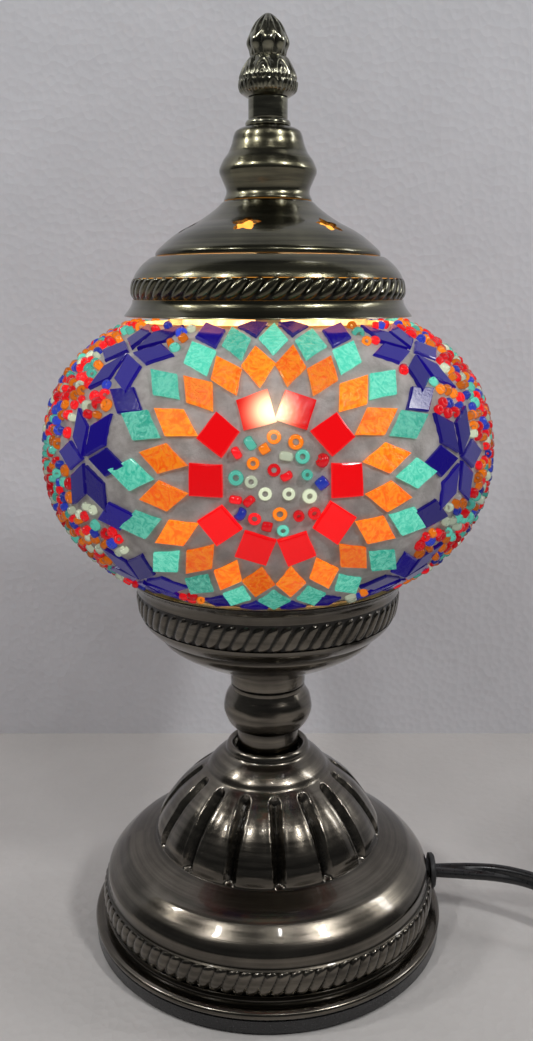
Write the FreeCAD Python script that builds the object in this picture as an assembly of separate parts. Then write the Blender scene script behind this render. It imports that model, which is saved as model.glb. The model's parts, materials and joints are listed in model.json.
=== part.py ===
import FreeCAD, Part
import math
import os

# Mosaic glass table lamp, in millimetres.
# The origin is at the middle of the underside of the base, +Z is up and the cord leaves at +X.
# Every piece that is round about the lamp's axis is a turned outline of (radius, height) points.

os.makedirs("parts", exist_ok=True)
Vector = FreeCAD.Vector
UP = Vector(0, 0, 1)

# Driving sizes
TUBE_RADIUS = 5.0            # M10 hollow rod that holds base, stem, cup and lampholder together
TUBE_BORE = 3.7
ROD_CLEARANCE = 0.1          # radial clearance where one body turns on another
WEB_HEIGHT = 71.2            # top of the web that closes the base collar
STEM_TOP = 101.5
CUP_FLOOR = STEM_TOP + 1.2
HOLDER_FOOT = 116.0          # underside of the lampholder
BULB_FOOT = 141.0            # underside of the lamp's end contact

GLOBE_CENTRE = 190.7         # height of the widest ring of the globe
GLASS_RADIUS = 77.4          # outside of the bare glass at the widest ring
GLASS_HALF_HEIGHT = 53.0
GLASS_WALL = 2.4
GLASS_FOOT_RADIUS = 42.0     # opening that sits in the cup
GLASS_MOUTH_RADIUS = 44.0    # opening under the cap
LOWER_ROUNDNESS = 2.16       # exponents of the squashed circle below and above the widest ring
UPPER_ROUNDNESS = 2.3
GROUT = 0.6                  # bed of grout between the glass and its tiles
SQUARE_SIDE = 9.6
RHOMBUS_SIDE = 9.2
TILE_THICKNESS = 2.0
RHOMBUS_ANGLE = 60.0

CAP_RIM = 238.9
CAP_LIFT_GAP = 0.4
CAP_TOP = 301.0
CAP_HOLES = 6
CAP_HOLE_RING = 28.2
FINIAL_FOOT = CAP_TOP + CAP_LIFT_GAP
FINIAL_TIP = 337.2
ROD_RADIUS = 3.0

CORD_WIDTH = 6.6
CORD_RADIUS = CORD_WIDTH / 2
CORD_EXIT = Vector(67.4, 0, 19.5)
GROMMET_HOLE = 4.8
COIL_CENTRE = Vector(172.0, 15.0, 0)
COIL_MIDDLE = 33.0           # radius of the middle turn
COIL_HALF_WIDTH = 10.0
COIL_HEIGHT = 14.0
TIE_HEADING = -128.0
SWITCH_LENGTH = 46.0
SWITCH_WIDTH = 22.0
SWITCH_HEIGHT = 16.0
SWITCH_INLET = Vector(136.0, -34.0, 8.0)
SWITCH_HEADING = -35.0       # degrees from +X, about +Z
PLUG_REAR = Vector(163.6, -2.6, 21.4)
ROCKER_TILT = 8.0
LEAD_RADIUS = 1.9            # flex inside the lamp, from the grommet to the lampholder
LEAD_TOP = 123.0

TILES_LOW = 147.3            # heights between which the mosaic shows
TILES_HIGH = 238.4
SMALLEST_TILE = 20.0         # volume under which a cut-off corner is left out
BEAD_LAYER = 2.3             # height of the packed seed beads over the grout
BEAD_FIELD_HALF_WIDTH = 27.0 # degrees of the packed field on either side of the globe
MEDALLION_ARC = 3.5          # height of a medallion's centre, measured along the skin
MEDALLION_FACES = (1.8, 181.8)
STAR_REACH = 65.0            # from a medallion's centre to the star beside it
UPPER_STARS = (43.0, 46.0)   # height along the skin and degrees from the medallion
LOWER_STARS = (-38.0, 41.0)


# ---- helpers ----

PIECES = {}


def save(name, shape):
    PIECES[name] = shape
    shape.exportStep(f"parts/{name}.step")


def outline_edges(items):
    """Edges through (radius, height) points. An item ("arc", middle, end) is an arc from the last
    point, and ("curve", point, point, ...) is a smooth curve from it."""
    edges = []
    last = Vector(items[0][0], 0, items[0][1])
    for item in items[1:]:
        points = [Vector(r, 0, z) for r, z in item[1:]] if isinstance(item[0], str) else []
        if item[0] == "arc":
            edges.append(Part.Arc(last, points[0], points[1]).toShape())
            last = points[1]
        elif item[0] == "curve":
            curve = Part.BSplineCurve()
            curve.interpolate([last] + points)
            edges.append(curve.toShape())
            last = points[-1]
        else:
            point = Vector(item[0], 0, item[1])
            edges.append(Part.LineSegment(last, point).toShape())
            last = point
    first = Vector(items[0][0], 0, items[0][1])
    if (last - first).Length > 1e-6:
        edges.append(Part.LineSegment(last, first).toShape())
    return edges


def turned(items):
    face = Part.Face(Part.Wire(outline_edges(items)))
    return face.revolve(Vector(0, 0, 0), UP, 360)


def ring(inner, outer, bottom, top):
    return turned([(inner, bottom), (outer, bottom), (outer, top), (inner, top)])


def disc(radius, bottom, top):
    return Part.makeCylinder(radius, top - bottom, Vector(0, 0, bottom))


def box(x, y, z):
    """A box from three (low, high) pairs."""
    size = [pair[1] - pair[0] for pair in (x, y, z)]
    return Part.makeBox(size[0], size[1], size[2], Vector(x[0], y[0], z[0]))


def hexagon_nut(bore, across_flats, bottom, top):
    corner = across_flats / math.sqrt(3)
    points = [
        Vector(corner * math.cos(math.radians(60 * k)), corner * math.sin(math.radians(60 * k)), bottom)
        for k in range(7)
    ]
    nut = Part.Face(Part.makePolygon(points)).extrude(Vector(0, 0, top - bottom))
    return nut.cut(disc(bore, bottom - 1, top + 1))


def around(shape, count, first=0.0, centre=Vector(0, 0, 0)):
    """Copies of a shape, evenly spaced about a vertical axis."""
    copies = []
    for k in range(count):
        copy = shape.copy()
        copy.rotate(centre, UP, first + 360.0 * k / count)
        copies.append(copy)
    return copies


def cord_path(points):
    """Straight runs joined by tangent arcs, each as large as its two runs allow."""
    edges = []
    radii = []
    start = points[0]
    for before, corner, after in zip(points, points[1:], points[2:]):
        to_corner = (corner - before).normalize()
        from_corner = (after - corner).normalize()
        shorter = min((corner - before).Length, (after - corner).Length)
        half_turn = to_corner.getAngle(from_corner) / 2
        setback = 0.45 * shorter
        arc_start = corner - to_corner * setback
        arc_end = corner + from_corner * setback
        radii.append(setback / math.tan(half_turn))
        inward = (from_corner - to_corner).normalize()
        sag = radii[-1] * (1 / math.cos(half_turn) - 1)
        edges.append(Part.LineSegment(start, arc_start).toShape())
        edges.append(Part.Arc(arc_start, corner + inward * sag, arc_end).toShape())
        start = arc_end
    edges.append(Part.LineSegment(start, points[-1]).toShape())
    return Part.Wire(edges), radii


def cord_tube(name, points, radius):
    path, radii = cord_path(points)
    section = Part.Wire(Part.makeCircle(radius, points[0], points[1] - points[0]))
    tube = path.makePipeShell([section], True, False)
    share = tube.Volume / (math.pi * radius**2 * path.Length)
    print(f"{name}: {path.Length:.1f} mm, radii {[round(r, 1) for r in radii]}, volume {share:.3f} of section x length")
    return tube


# ---- base ----

def base_pieces():
    save("felt_ring", ring(40.0, 66.0, 0.0, 1.2))

    cover = turned([
        (TUBE_RADIUS, 6.0), (16.0, 6.0), (17.0, 1.2), (68.4, 1.2), (68.4, 5.8), (67.2, 5.8),
        (67.2, 2.4), (18.0, 2.4), (17.0, 7.2), (TUBE_RADIUS, 7.2),
    ])
    screw_hole = Part.makeCylinder(1.6, 4.0, Vector(30.0, 0, 0))
    save("base_cover", cover.cut(Part.makeCompound(around(screw_hole, 3, 60.0))))
    save("base_nut", hexagon_nut(TUBE_RADIUS, 17.0, 1.4, 6.0))

    shell = turned([
        (66.4, 5.8), (67.2, 5.8), ("arc", (68.9, 7.5), (67.2, 9.2)), (63.4, 9.4), (63.4, 12.0), (64.4, 12.2),
        ("arc", (65.1, 17.0), (64.4, 21.8)),
        (63.5, 22.4), (63.3, 26.3),
        ("curve", (62.6, 27.6), (60.6, 30.2), (58.0, 32.8), (56.3, 34.4)),
        (55.4, 35.0),
        ("curve", (52.0, 36.7), (47.5, 38.4), (43.9, 39.8)),
        ("curve", (43.3, 43.4), (41.3, 47.6), (38.5, 52.0), (34.6, 57.0), (30.2, 61.2), (26.5, 64.4), (23.6, 66.8)),
        ("curve", (22.0, 69.2), (19.4, 71.8), (16.3, 74.2)),
        ("arc", (15.5, 76.9), (13.2, 76.0)),
        (13.2, WEB_HEIGHT), (TUBE_RADIUS, WEB_HEIGHT), (TUBE_RADIUS, WEB_HEIGHT - 1.2), (17.4, WEB_HEIGHT - 1.2),
        (22.4, 66.2), (33.4, 56.4), (40.2, 47.0), (42.4, 42.8), (42.8, 39.2),
        (46.8, 37.5), (54.6, 34.2), (61.5, 26.8), (62.2, 25.8), (62.4, 21.8), (63.4, 20.6), (63.4, 13.4), (62.4, 12.8),
        (62.4, 8.6), (66.4, 8.2),
    ])
    entry = Part.makeCylinder(GROMMET_HOLE, 12.0, Vector(58.0, 0, CORD_EXIT.z), Vector(1, 0, 0))
    save("base_shell", shell.cut(entry))
    save("base_shell_washer", ring(TUBE_RADIUS, 11.0, WEB_HEIGHT - 2.4, WEB_HEIGHT - 1.2))
    save("base_shell_nut", hexagon_nut(TUBE_RADIUS, 17.0, WEB_HEIGHT - 6.4, WEB_HEIGHT - 2.4))

    ballast = ring(20.0, 60.0, 2.4, 12.4)
    shank_hole = Part.makeCylinder(1.6, 20.0, Vector(30.0, 0, 0))
    save("ballast_ring", ballast.cut(Part.makeCompound(around(shank_hole, 3, 60.0))))
    screw = disc(3.4, 0.3, 1.2).fuse(disc(1.6, 1.2, 12.0))
    screw.translate(Vector(30.0, 0, 0))
    save("ballast_screws", Part.makeCompound(around(screw, 3, 60.0)))


def stem_pieces():
    rod = ring(TUBE_BORE, TUBE_RADIUS, 1.4, HOLDER_FOOT + 8.0)
    slot = box((0, 8.0), (-2.6, 2.6), (22.0, 44.0))
    save("threaded_tube", rod.cut(slot))

    save("stem_ball", turned([
        (TUBE_RADIUS, WEB_HEIGHT), (11.7, WEB_HEIGHT), (11.7, 83.4), ("arc", (12.2, 84.2), (13.9, 84.6)),
        ("curve", (15.6, 87.0), (16.8, 90.2), (16.9, 93.0), (16.2, 96.0), (14.9, 98.4), (14.1, 99.8)),
        (14.1, STEM_TOP), (TUBE_RADIUS, STEM_TOP), (TUBE_RADIUS, STEM_TOP - 1.4), (12.6, STEM_TOP - 1.4),
        (15.4, 95.4), (15.6, 90.4), (13.0, 86.0), (10.4, 84.6), (10.4, WEB_HEIGHT + 1.4),
        (TUBE_RADIUS, WEB_HEIGHT + 1.4),
    ]))


def cup_pieces():
    save("lower_cup", turned([
        (TUBE_RADIUS, STEM_TOP), (14.2, STEM_TOP), (14.4, 107.4),
        ("curve", (17.4, 108.2), (24.5, 112.0), (32.5, 116.2), (38.6, 120.2), (41.3, 123.4)),
        (40.9, 124.2),
        ("curve", (43.4, 125.4), (46.2, 128.2), (47.7, 131.4), (48.6, 135.4), (48.9, 140.6)),
        ("curve", (49.5, 143.2), (51.0, 145.2), (52.6, 146.4)),
        (51.9, 147.0),
        ("curve", (50.2, 145.8), (48.6, 143.8), (47.9, 141.0)),
        (47.6, 135.4), (46.7, 131.8), (45.2, 129.0), (42.6, 126.6), (39.8, 124.8), (37.6, 121.2), (31.8, 117.2),
        (23.8, 113.0), (16.4, 109.4), (13.2, 108.4), (13.2, CUP_FLOOR), (TUBE_RADIUS, CUP_FLOOR),
    ]))
    save("cup_washer", ring(TUBE_RADIUS, 11.5, CUP_FLOOR, CUP_FLOOR + 1.2))
    save("cup_nut", hexagon_nut(TUBE_RADIUS, 17.0, CUP_FLOOR + 1.2, CUP_FLOOR + 6.2))
    save("globe_seat_ring", turned([
        (41.0, 135.6), (47.4, 135.6), (47.7, 141.0), (47.7, glass_foot_height() - 1.6),
        (44.2, glass_foot_height() - 0.6), (41.0, glass_foot_height() - 0.6),
    ]))


# ---- lampholder and lamp ----

def holder_pieces():
    foot = HOLDER_FOOT
    save("holder_cap", turned([
        (TUBE_RADIUS, foot), (9.0, foot), (13.6, foot + 5.0), (14.4, foot + 18.0), (12.8, foot + 18.0),
        (12.4, foot + 8.0), (TUBE_RADIUS, foot + 8.0),
    ]))
    save("holder_skirt", ring(9.4, 14.4, foot + 18.0, foot + 48.0))
    save("holder_insert", ring(2.1, 11.8, foot + 12.4, foot + 21.0).cut(
        ring(9.4, 15.0, foot + 18.0, foot + 22.0)
    ))
    save("holder_thread_shell", ring(7.15, 7.75, foot + 21.0, foot + 44.0).fuse(
        ring(7.15, 9.3, foot + 44.0, foot + 44.6)
    ))
    save("holder_centre_contact", disc(2.1, foot + 14.0, BULB_FOOT - 1.4).fuse(
        disc(1.5, BULB_FOOT - 1.4, BULB_FOOT - 0.3)
    ))
    screw = disc(1.7, foot + 11.0, foot + 12.4)
    screw.translate(Vector(0, 8.0, 0))
    save("terminal_screws", Part.makeCompound(around(screw, 2)))


def bulb_pieces():
    foot = BULB_FOOT
    save("bulb_contact", disc(2.3, foot - 0.2, foot + 0.8))
    save("bulb_insulator", turned([(0, foot + 0.8), (3.6, foot + 0.8), (6.2, foot + 4.4), (0, foot + 4.4)]))
    save("bulb_screw_cap", turned([
        (0, foot + 4.4), (6.2, foot + 4.4), (7.0, foot + 6.0), (7.0, foot + 24.0), (8.6, foot + 27.0), (0, foot + 27.0),
    ]))
    save("bulb_glass", turned([
        (0, foot + 27.0), (8.6, foot + 27.0),
        ("curve", (13.4, foot + 38.0), (17.0, foot + 52.0), (16.8, foot + 62.0), (12.6, foot + 76.0),
         (6.2, foot + 87.0), (0.6, foot + 94.0)),
        (0, foot + 94.0), (0, foot + 93.0), (0.5, foot + 93.0),
        ("curve", (5.4, foot + 86.2), (11.8, foot + 75.4), (15.9, foot + 61.8), (16.1, foot + 52.2),
         (12.5, foot + 38.4), (7.8, foot + 28.0)),
        (0, foot + 28.0),
    ]))
    save("filament_stem", turned([
        (0, foot + 28.0), (4.2, foot + 28.0), (1.8, foot + 44.0), (1.4, foot + 52.0), (0, foot + 52.0),
    ]))
    filament = Part.makeTorus(5.4, 0.5, Vector(0, 0, foot + 66.0))
    post = Part.makeCylinder(0.5, 14.2, Vector(1.0, 0, foot + 52.0), Vector(4.2, 0, 13.8))
    post = post.cut(filament).cut(PIECES["filament_stem"])
    save("filament", filament)
    save("filament_posts", Part.makeCompound(around(post, 2)))


# ---- globe ----

def globe_point(radius, half_height, angle):
    """A point of the globe's outline: a squashed circle, with its own roundness above and below."""
    roundness = UPPER_ROUNDNESS if angle > 0 else LOWER_ROUNDNESS
    r = radius * abs(math.cos(angle)) ** (2 / roundness)
    z = half_height * abs(math.sin(angle)) ** (2 / roundness)
    return r, GLOBE_CENTRE + math.copysign(z, angle)


def globe_height(radius, half_height, r, upper):
    roundness = UPPER_ROUNDNESS if upper else LOWER_ROUNDNESS
    z = half_height * (1 - (r / radius) ** roundness) ** (1 / roundness)
    return GLOBE_CENTRE + z if upper else GLOBE_CENTRE - z


def glass_foot_height():
    return globe_height(GLASS_RADIUS, GLASS_HALF_HEIGHT, GLASS_FOOT_RADIUS, False)


def globe_skin(inset, wall, foot_radius, mouth_radius):
    """A closed skin that follows the globe, between its two openings."""
    outer = skin_curve(GLASS_RADIUS - inset, GLASS_HALF_HEIGHT - inset, foot_radius, mouth_radius)
    inner = skin_curve(GLASS_RADIUS - inset - wall, GLASS_HALF_HEIGHT - inset - wall, foot_radius, mouth_radius)
    inner.reverse()
    return turned([outer[0], ("curve", *outer[1:]), inner[0], ("curve", *inner[1:])])


def skin_curve(radius, half_height, foot_radius, mouth_radius, steps=18):
    low = -math.acos((foot_radius / radius) ** (LOWER_ROUNDNESS / 2))
    high = math.acos((mouth_radius / radius) ** (UPPER_ROUNDNESS / 2))
    return [globe_point(radius, half_height, low + (high - low) * k / steps) for k in range(steps + 1)]


def height_above_equator(arc):
    """Height and outline slope of the grouted surface, a given distance along it from the widest ring."""
    radius = GLASS_RADIUS + GROUT
    half_height = GLASS_HALF_HEIGHT + GROUT
    step = 0.0005
    angle = 0.0
    travelled = 0.0
    r, z = globe_point(radius, half_height, 1e-9)
    while travelled < abs(arc):
        angle += step
        r_next, z_next = globe_point(radius, half_height, math.copysign(angle, arc))
        travelled += math.hypot(r_next - r, z_next - z)
        slope = (r_next - r, z_next - z)
        r, z = r_next, z_next
    if arc == 0:
        return r, GLOBE_CENTRE, 0.0
    tilt = math.atan2(-slope[0], abs(slope[1])) * math.copysign(1, arc)
    return r, z, math.degrees(tilt)


def tile(corners, azimuth, arc, spin):
    """A flat tile laid against the globe. azimuth is about +Z from the front, -Y, and spin turns the
    tile in its own plane."""
    wire = Part.makePolygon([Vector(x, 0, y) for x, y in corners + corners[:1]])
    plate = Part.Face(wire).extrude(Vector(0, -TILE_THICKNESS, 0))
    r, z, tilt = height_above_equator(arc)
    plate.rotate(Vector(0, 0, 0), Vector(0, 1, 0), -spin)
    plate.rotate(Vector(0, 0, 0), Vector(1, 0, 0), -tilt)
    plate.translate(Vector(0, -r - 0.05, z))
    plate.rotate(Vector(0, 0, 0), UP, azimuth)
    return plate


def square():
    half = SQUARE_SIDE / 2
    return [(-half, -half), (half, -half), (half, half), (-half, half)]


def rhombus():
    """Its long diagonal is along the tile's own +y."""
    half_width = RHOMBUS_SIDE * math.sin(math.radians(RHOMBUS_ANGLE / 2))
    half_length = RHOMBUS_SIDE * math.cos(math.radians(RHOMBUS_ANGLE / 2))
    return [(0, -half_length), (half_width, 0), (0, half_length), (-half_width, 0)]


def skin_azimuth(face, sideways, arc):
    """Azimuth of a point a given distance to the side of a medallion's middle line."""
    r = height_above_equator(arc)[0]
    return face + math.degrees(sideways / (0.35 * r + 0.65 * (GLASS_RADIUS + GROUT)))


def medallion_ring(corners, count, across, tall, first, face, sway=0.0):
    """One ring of tiles about a medallion's centre, an oval of the given half sizes along the skin.
    sway moves the tiles at the sides down, where they meet the stars."""
    tiles = []
    for k in range(count):
        degrees = first + 360.0 * k / count
        turn = math.radians(degrees + sway * math.sin(math.radians(degrees)))
        upwards = MEDALLION_ARC + tall * math.cos(turn)
        azimuth = skin_azimuth(face, across * math.sin(turn), upwards)
        tiles.append(tile(corners, azimuth, upwards, -math.degrees(turn)))
    return tiles


def star(azimuth, arc, first=30.0):
    """Six rhombi with their sharp ends together."""
    reach = RHOMBUS_SIDE * math.cos(math.radians(RHOMBUS_ANGLE / 2)) + 1.4
    petals = []
    for k in range(6):
        turn = math.radians(60.0 * k + first)
        upwards = arc + reach * math.cos(turn)
        r = height_above_equator(upwards)[0]
        around_axis = azimuth + math.degrees(reach * math.sin(turn) / r)
        petals.append(tile(rhombus(), around_axis, upwards, -math.degrees(turn)))
    return petals


def clear_of(tiles, others):
    """The tiles, nipped back where they would run into the others."""
    kept = []
    for one in tiles:
        whole = one.Volume
        for other in others:
            if one.BoundBox.intersect(other.BoundBox) and one.common(other).Volume > 1e-6:
                solids = one.cut(other).Solids
                if not solids:
                    break
                one = max(solids, key=lambda solid: solid.Volume)
        else:
            if one.Volume > 0.45 * whole:
                kept.append(one)
    return kept


def between_rims(tiles):
    """The tiles, cut off where the cup and the cap hide the globe."""
    band = box((-90.0, 90.0), (-90.0, 90.0), (TILES_LOW, TILES_HIGH))
    kept = [t.common(band) for t in tiles]
    return [t for t in kept if t.Volume > SMALLEST_TILE]


def bead_field(face):
    """The layer of seed beads packed between the two medallions, on the side that faces this way."""
    outer = globe_skin(-GROUT - BEAD_LAYER, BEAD_LAYER - 0.03, 54.0, 54.0)
    wedge = Part.makePolygon([
        Vector(0, 0, 0),
        Vector(-200 * math.sin(math.radians(BEAD_FIELD_HALF_WIDTH)), -200, 0),
        Vector(200 * math.sin(math.radians(BEAD_FIELD_HALF_WIDTH)), -200, 0),
        Vector(0, 0, 0),
    ])
    block = Part.Face(wedge).extrude(Vector(0, 0, 400))
    block.rotate(Vector(0, 0, 0), UP, face)
    return outer.common(block)


def globe_pieces():
    save("globe_glass", globe_skin(0.0, GLASS_WALL, GLASS_FOOT_RADIUS, GLASS_MOUTH_RADIUS))
    save("grout_bed", globe_skin(-GROUT, GROUT - 0.03, 48.0, 50.0))

    red, orange, turquoise, blue, stars = [], [], [], [], []
    for face in MEDALLION_FACES:
        red += medallion_ring(square(), 10, 20.7, 22.0, 18.0, face)
        orange += medallion_ring(rhombus(), 20, 34.5, 36.0, 9.0, face)
        turquoise += medallion_ring(rhombus(), 20, 45.0, 48.0, 0.0, face)
        for side in (-1, 1):
            star_azimuth = skin_azimuth(face, side * STAR_REACH, MEDALLION_ARC)
            stars += star(star_azimuth, MEDALLION_ARC + 2.5)
            for arc, spread in (UPPER_STARS, LOWER_STARS):
                stars += star(face + side * spread, arc)
        blue += medallion_ring(rhombus(), 20, 54.0, 57.5, 9.0, face, 5.0)
    turquoise = between_rims(turquoise)
    stars = clear_of(between_rims(stars), turquoise)
    blue = clear_of(between_rims(blue), turquoise + stars)
    print(f"star petals {len(stars)}, blue tiles {len(blue)}")
    save("tiles_red", Part.makeCompound(red))
    save("tiles_orange", Part.makeCompound(orange))
    save("tiles_turquoise", Part.makeCompound(turquoise))
    save("tiles_blue", Part.makeCompound(blue))
    save("star_petals", Part.makeCompound(stars))
    fields = []
    for face in MEDALLION_FACES:
        field = bead_field(face + 90.0)
        for one in stars + blue + turquoise:
            if field.BoundBox.intersect(one.BoundBox):
                field = field.cut(one)
        fields.append(largest(field))
    save("seed_beads", Part.makeCompound(fields))


# ---- cap and finial ----

def cap_star_hole():
    """A five-pointed cutter that stands square to the dome at the ring of holes."""
    points = []
    for k in range(11):
        reach = 4.2 if k % 2 == 0 else 2.1
        turn = math.radians(36.0 * k)
        points.append(Vector(reach * math.sin(turn), reach * math.cos(turn), 0))
    cutter = Part.Face(Part.makePolygon(points)).extrude(Vector(0, 0, 8.0))
    cutter.translate(Vector(0, 0, -4.0))
    cutter.rotate(Vector(0, 0, 0), Vector(1, 0, 0), 29.0)
    cutter.translate(Vector(0, -CAP_HOLE_RING, 268.6))
    return cutter


def cap_pieces():
    shell = turned([
        (50.6, CAP_RIM),
        ("curve", (48.6, 241.4), (47.4, 243.5), (47.4, 245.6), (47.6, 248.0)),
        ("curve", (46.8, 251.6), (44.4, 255.4), (40.6, 258.8)),
        (39.2, 258.8), (39.0, 260.7),
        ("curve", (33.1, 265.7), (28.2, 268.6), (23.8, 270.9), (18.1, 274.9), (15.4, 277.6)),
        ("curve", (14.3, 280.7), (15.9, 284.8), (16.75, 287.4), (15.4, 290.8)),
        (13.6, 293.1),
        ("curve", (12.4, 296.0), (11.8, 298.4), (11.2, 300.0)),
        (9.6, CAP_TOP), (ROD_RADIUS, CAP_TOP), (ROD_RADIUS, CAP_TOP - 1.2), (10.0, CAP_TOP - 1.2),
        (12.4, 292.6), (15.0, 289.6), (15.5, 287.4), (14.6, 285.0), (13.1, 280.8), (14.4, 276.8),
        (17.4, 273.8), (23.2, 269.8), (27.6, 267.6), (32.4, 264.6), (37.9, 260.2), (38.0, 257.7), (40.0, 257.7),
        (43.5, 254.7), (45.7, 251.3), (46.5, 248.0), (46.3, 245.4), (46.4, 243.4), (47.7, 240.9), (49.8, CAP_RIM),
    ])
    save("cap_shell", shell.cut(Part.makeCompound(around(cap_star_hole(), CAP_HOLES, 45.0))))

    plate_height = 250.0
    save("clip_hub", ring(ROD_RADIUS, 12.0, plate_height, plate_height + 1.2))
    arm = box((10.0, 40.4), (-4.0, 4.0), (plate_height - 1.0, plate_height))
    leg = box((39.4, 40.4), (-4.0, 4.0), (226.0, plate_height - 1.0))
    toe = box((37.4, 39.4), (-4.0, 4.0), (226.0, 227.0))
    save("clip_arms", Part.makeCompound(around(arm.fuse(leg).fuse(toe), 3, 30.0)))
    save("finial_rod", disc(ROD_RADIUS, 240.0, FINIAL_FOOT + 9.4))
    save("rod_nuts", Part.makeCompound([
        hexagon_nut(ROD_RADIUS, 10.0, plate_height - 5.0, plate_height),
        hexagon_nut(ROD_RADIUS, 10.0, plate_height + 1.2, plate_height + 6.2),
        hexagon_nut(ROD_RADIUS, 10.0, CAP_TOP - 6.2, CAP_TOP - 1.2),
    ]))


def finial_pieces():
    bore = ROD_RADIUS + ROD_CLEARANCE
    foot = FINIAL_FOOT
    save("finial_foot", turned([
        (bore, foot), (7.6, foot), ("arc", (7.8, foot + 1.0), (6.9, foot + 2.4)), (bore, foot + 2.4),
    ]))
    save("finial_tube", ring(bore, 6.7, foot + 2.4, foot + 9.4))
    save("finial_lower_bud", turned([
        (0, foot + 9.8), (bore, foot + 9.8), (bore, foot + 9.4), (7.1, foot + 9.4),
        ("curve", (9.0, foot + 11.6), (9.5, foot + 13.6), (9.0, foot + 16.6), (7.4, foot + 19.6), (5.9, foot + 22.0)),
        (0, foot + 22.0),
    ]))
    save("finial_upper_bud", turned([
        (0, foot + 22.0), (5.9, foot + 22.0),
        ("curve", (6.6, foot + 24.0), (7.2, foot + 26.2), (6.6, foot + 28.6), (4.6, foot + 32.0), (2.2, foot + 34.6)),
        ("curve", (1.2, foot + 35.4), (0, FINIAL_TIP)),
    ]))


# ---- cord, switch and plug ----

def lead_pieces():
    wall_outside = 65.0
    flange = Part.makeCylinder(7.0, 2.4, Vector(wall_outside, 0, CORD_EXIT.z), Vector(1, 0, 0))
    neck = Part.makeCylinder(GROMMET_HOLE, wall_outside - 61.2, Vector(61.2, 0, CORD_EXIT.z), Vector(1, 0, 0))
    inner_flange = Part.makeCylinder(6.4, 1.6, Vector(60.0, 0, CORD_EXIT.z), Vector(1, 0, 0))
    grommet = flange.fuse([neck, inner_flange])
    bore = Part.makeCylinder(LEAD_RADIUS, 5.0, Vector(59.0, 0, CORD_EXIT.z), Vector(1, 0, 0))
    save("cord_grommet", largest(grommet.cut(PIECES["base_shell"]).cut(bore)))

    inside = [
        Vector(64.0, 0, CORD_EXIT.z), Vector(44.0, 1.0, CORD_EXIT.z - 1.0), Vector(25.0, 0, 21.5),
        Vector(12.0, 0, 27.5), Vector(0.6, 0, 39.5), Vector(0, 0, 57.0), Vector(0.3, 0, 84.0), Vector(0, 0, LEAD_TOP),
    ]
    lead = cord_tube("inner lead", inside, LEAD_RADIUS)
    save("inner_lead", largest(lead.cut(PIECES["cord_grommet"])))
    wire = Part.makeCylinder(0.6, 6.6, Vector(0, 0.8, LEAD_TOP + 0.4), Vector(0, 5.4, 3.0))
    wire = wire.cut(PIECES["inner_lead"]).cut(PIECES["terminal_screws"]).cut(PIECES["holder_insert"])
    save("terminal_wires", Part.makeCompound(around(wire, 2)))


def largest(shape):
    return max(shape.Solids, key=lambda solid: solid.Volume)


def on_switch(shape):
    """Moves a shape from the switch's own frame, with its inlet at 0 and its length along +x."""
    moved = shape.copy()
    moved.rotate(Vector(0, 0, 0), UP, SWITCH_HEADING)
    moved.translate(Vector(SWITCH_INLET.x, SWITCH_INLET.y, 0))
    return moved


def switch_point(along, height):
    heading = math.radians(SWITCH_HEADING)
    return Vector(
        SWITCH_INLET.x + along * math.cos(heading), SWITCH_INLET.y + along * math.sin(heading), height
    )


def switch_pieces():
    half = SWITCH_WIDTH / 2
    split = 8.0
    wall = 1.8
    rounded = box((0, SWITCH_LENGTH), (-half, half), (0, SWITCH_HEIGHT))
    upright = [e for e in rounded.Edges if abs(e.BoundBox.ZLength - SWITCH_HEIGHT) < 1e-6]
    rounded = rounded.makeFillet(7.0, upright)
    rims = [e for e in rounded.Edges if e.BoundBox.ZLength < 1e-6 and e.BoundBox.ZMax > SWITCH_HEIGHT - 1e-6]
    rounded = rounded.makeFillet(2.0, rims)
    hollow = box((3.0, SWITCH_LENGTH - 3.0), (-half + wall, half - wall), (wall, SWITCH_HEIGHT - wall))
    window = box((14.6, 31.4), (-5.3, 5.3), (SWITCH_HEIGHT - 4.0, SWITCH_HEIGHT + 2.0))
    body = rounded.cut(hollow).cut(window)
    low_half = box((-1, SWITCH_LENGTH + 1), (-half - 1, half + 1), (-1, split))
    pin_run = (-half + wall, half - wall)
    hole_x = (6.0, SWITCH_LENGTH - 6.0)
    screws = Part.makeCompound([Part.makeCylinder(1.5, 1.5, Vector(x, 0, 0.2)) for x in hole_x])
    holes = Part.makeCompound([Part.makeCylinder(1.5, 1.9, Vector(x, 0, -0.2)) for x in hole_x])
    save("switch_screws", on_switch(screws))
    save("switch_lower", on_switch(body.common(low_half).cut(holes)))
    save("switch_upper", on_switch(body.cut(low_half)))
    middle = Vector(SWITCH_LENGTH / 2, 0, 12.0)
    pin = Part.makeCylinder(1.0, pin_run[1] - pin_run[0], Vector(middle.x, pin_run[0], middle.z), Vector(0, 1, 0))
    save("switch_pin", on_switch(pin))
    rocker_half = 7.6
    side = Part.Wire([
        Part.Arc(
            Vector(middle.x - rocker_half, -5.0, middle.z), Vector(middle.x, -5.0, middle.z - rocker_half),
            Vector(middle.x + rocker_half, -5.0, middle.z),
        ).toShape(),
        Part.makePolygon([
            Vector(middle.x + rocker_half, -5.0, middle.z), Vector(middle.x + rocker_half, -5.0, middle.z + 5.6),
            Vector(middle.x, -5.0, middle.z + 4.4), Vector(middle.x - rocker_half, -5.0, middle.z + 5.6),
            Vector(middle.x - rocker_half, -5.0, middle.z),
        ]),
    ])
    rocker = Part.Face(side).extrude(Vector(0, 10.0, 0))
    bore = Part.makeCylinder(1.06, 12.0, Vector(middle.x, -6.0, middle.z), Vector(0, 1, 0))
    rocker = rocker.cut(bore)
    rocker.rotate(middle, Vector(0, 1, 0), -ROCKER_TILT)
    save("switch_rocker", on_switch(rocker))


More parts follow.
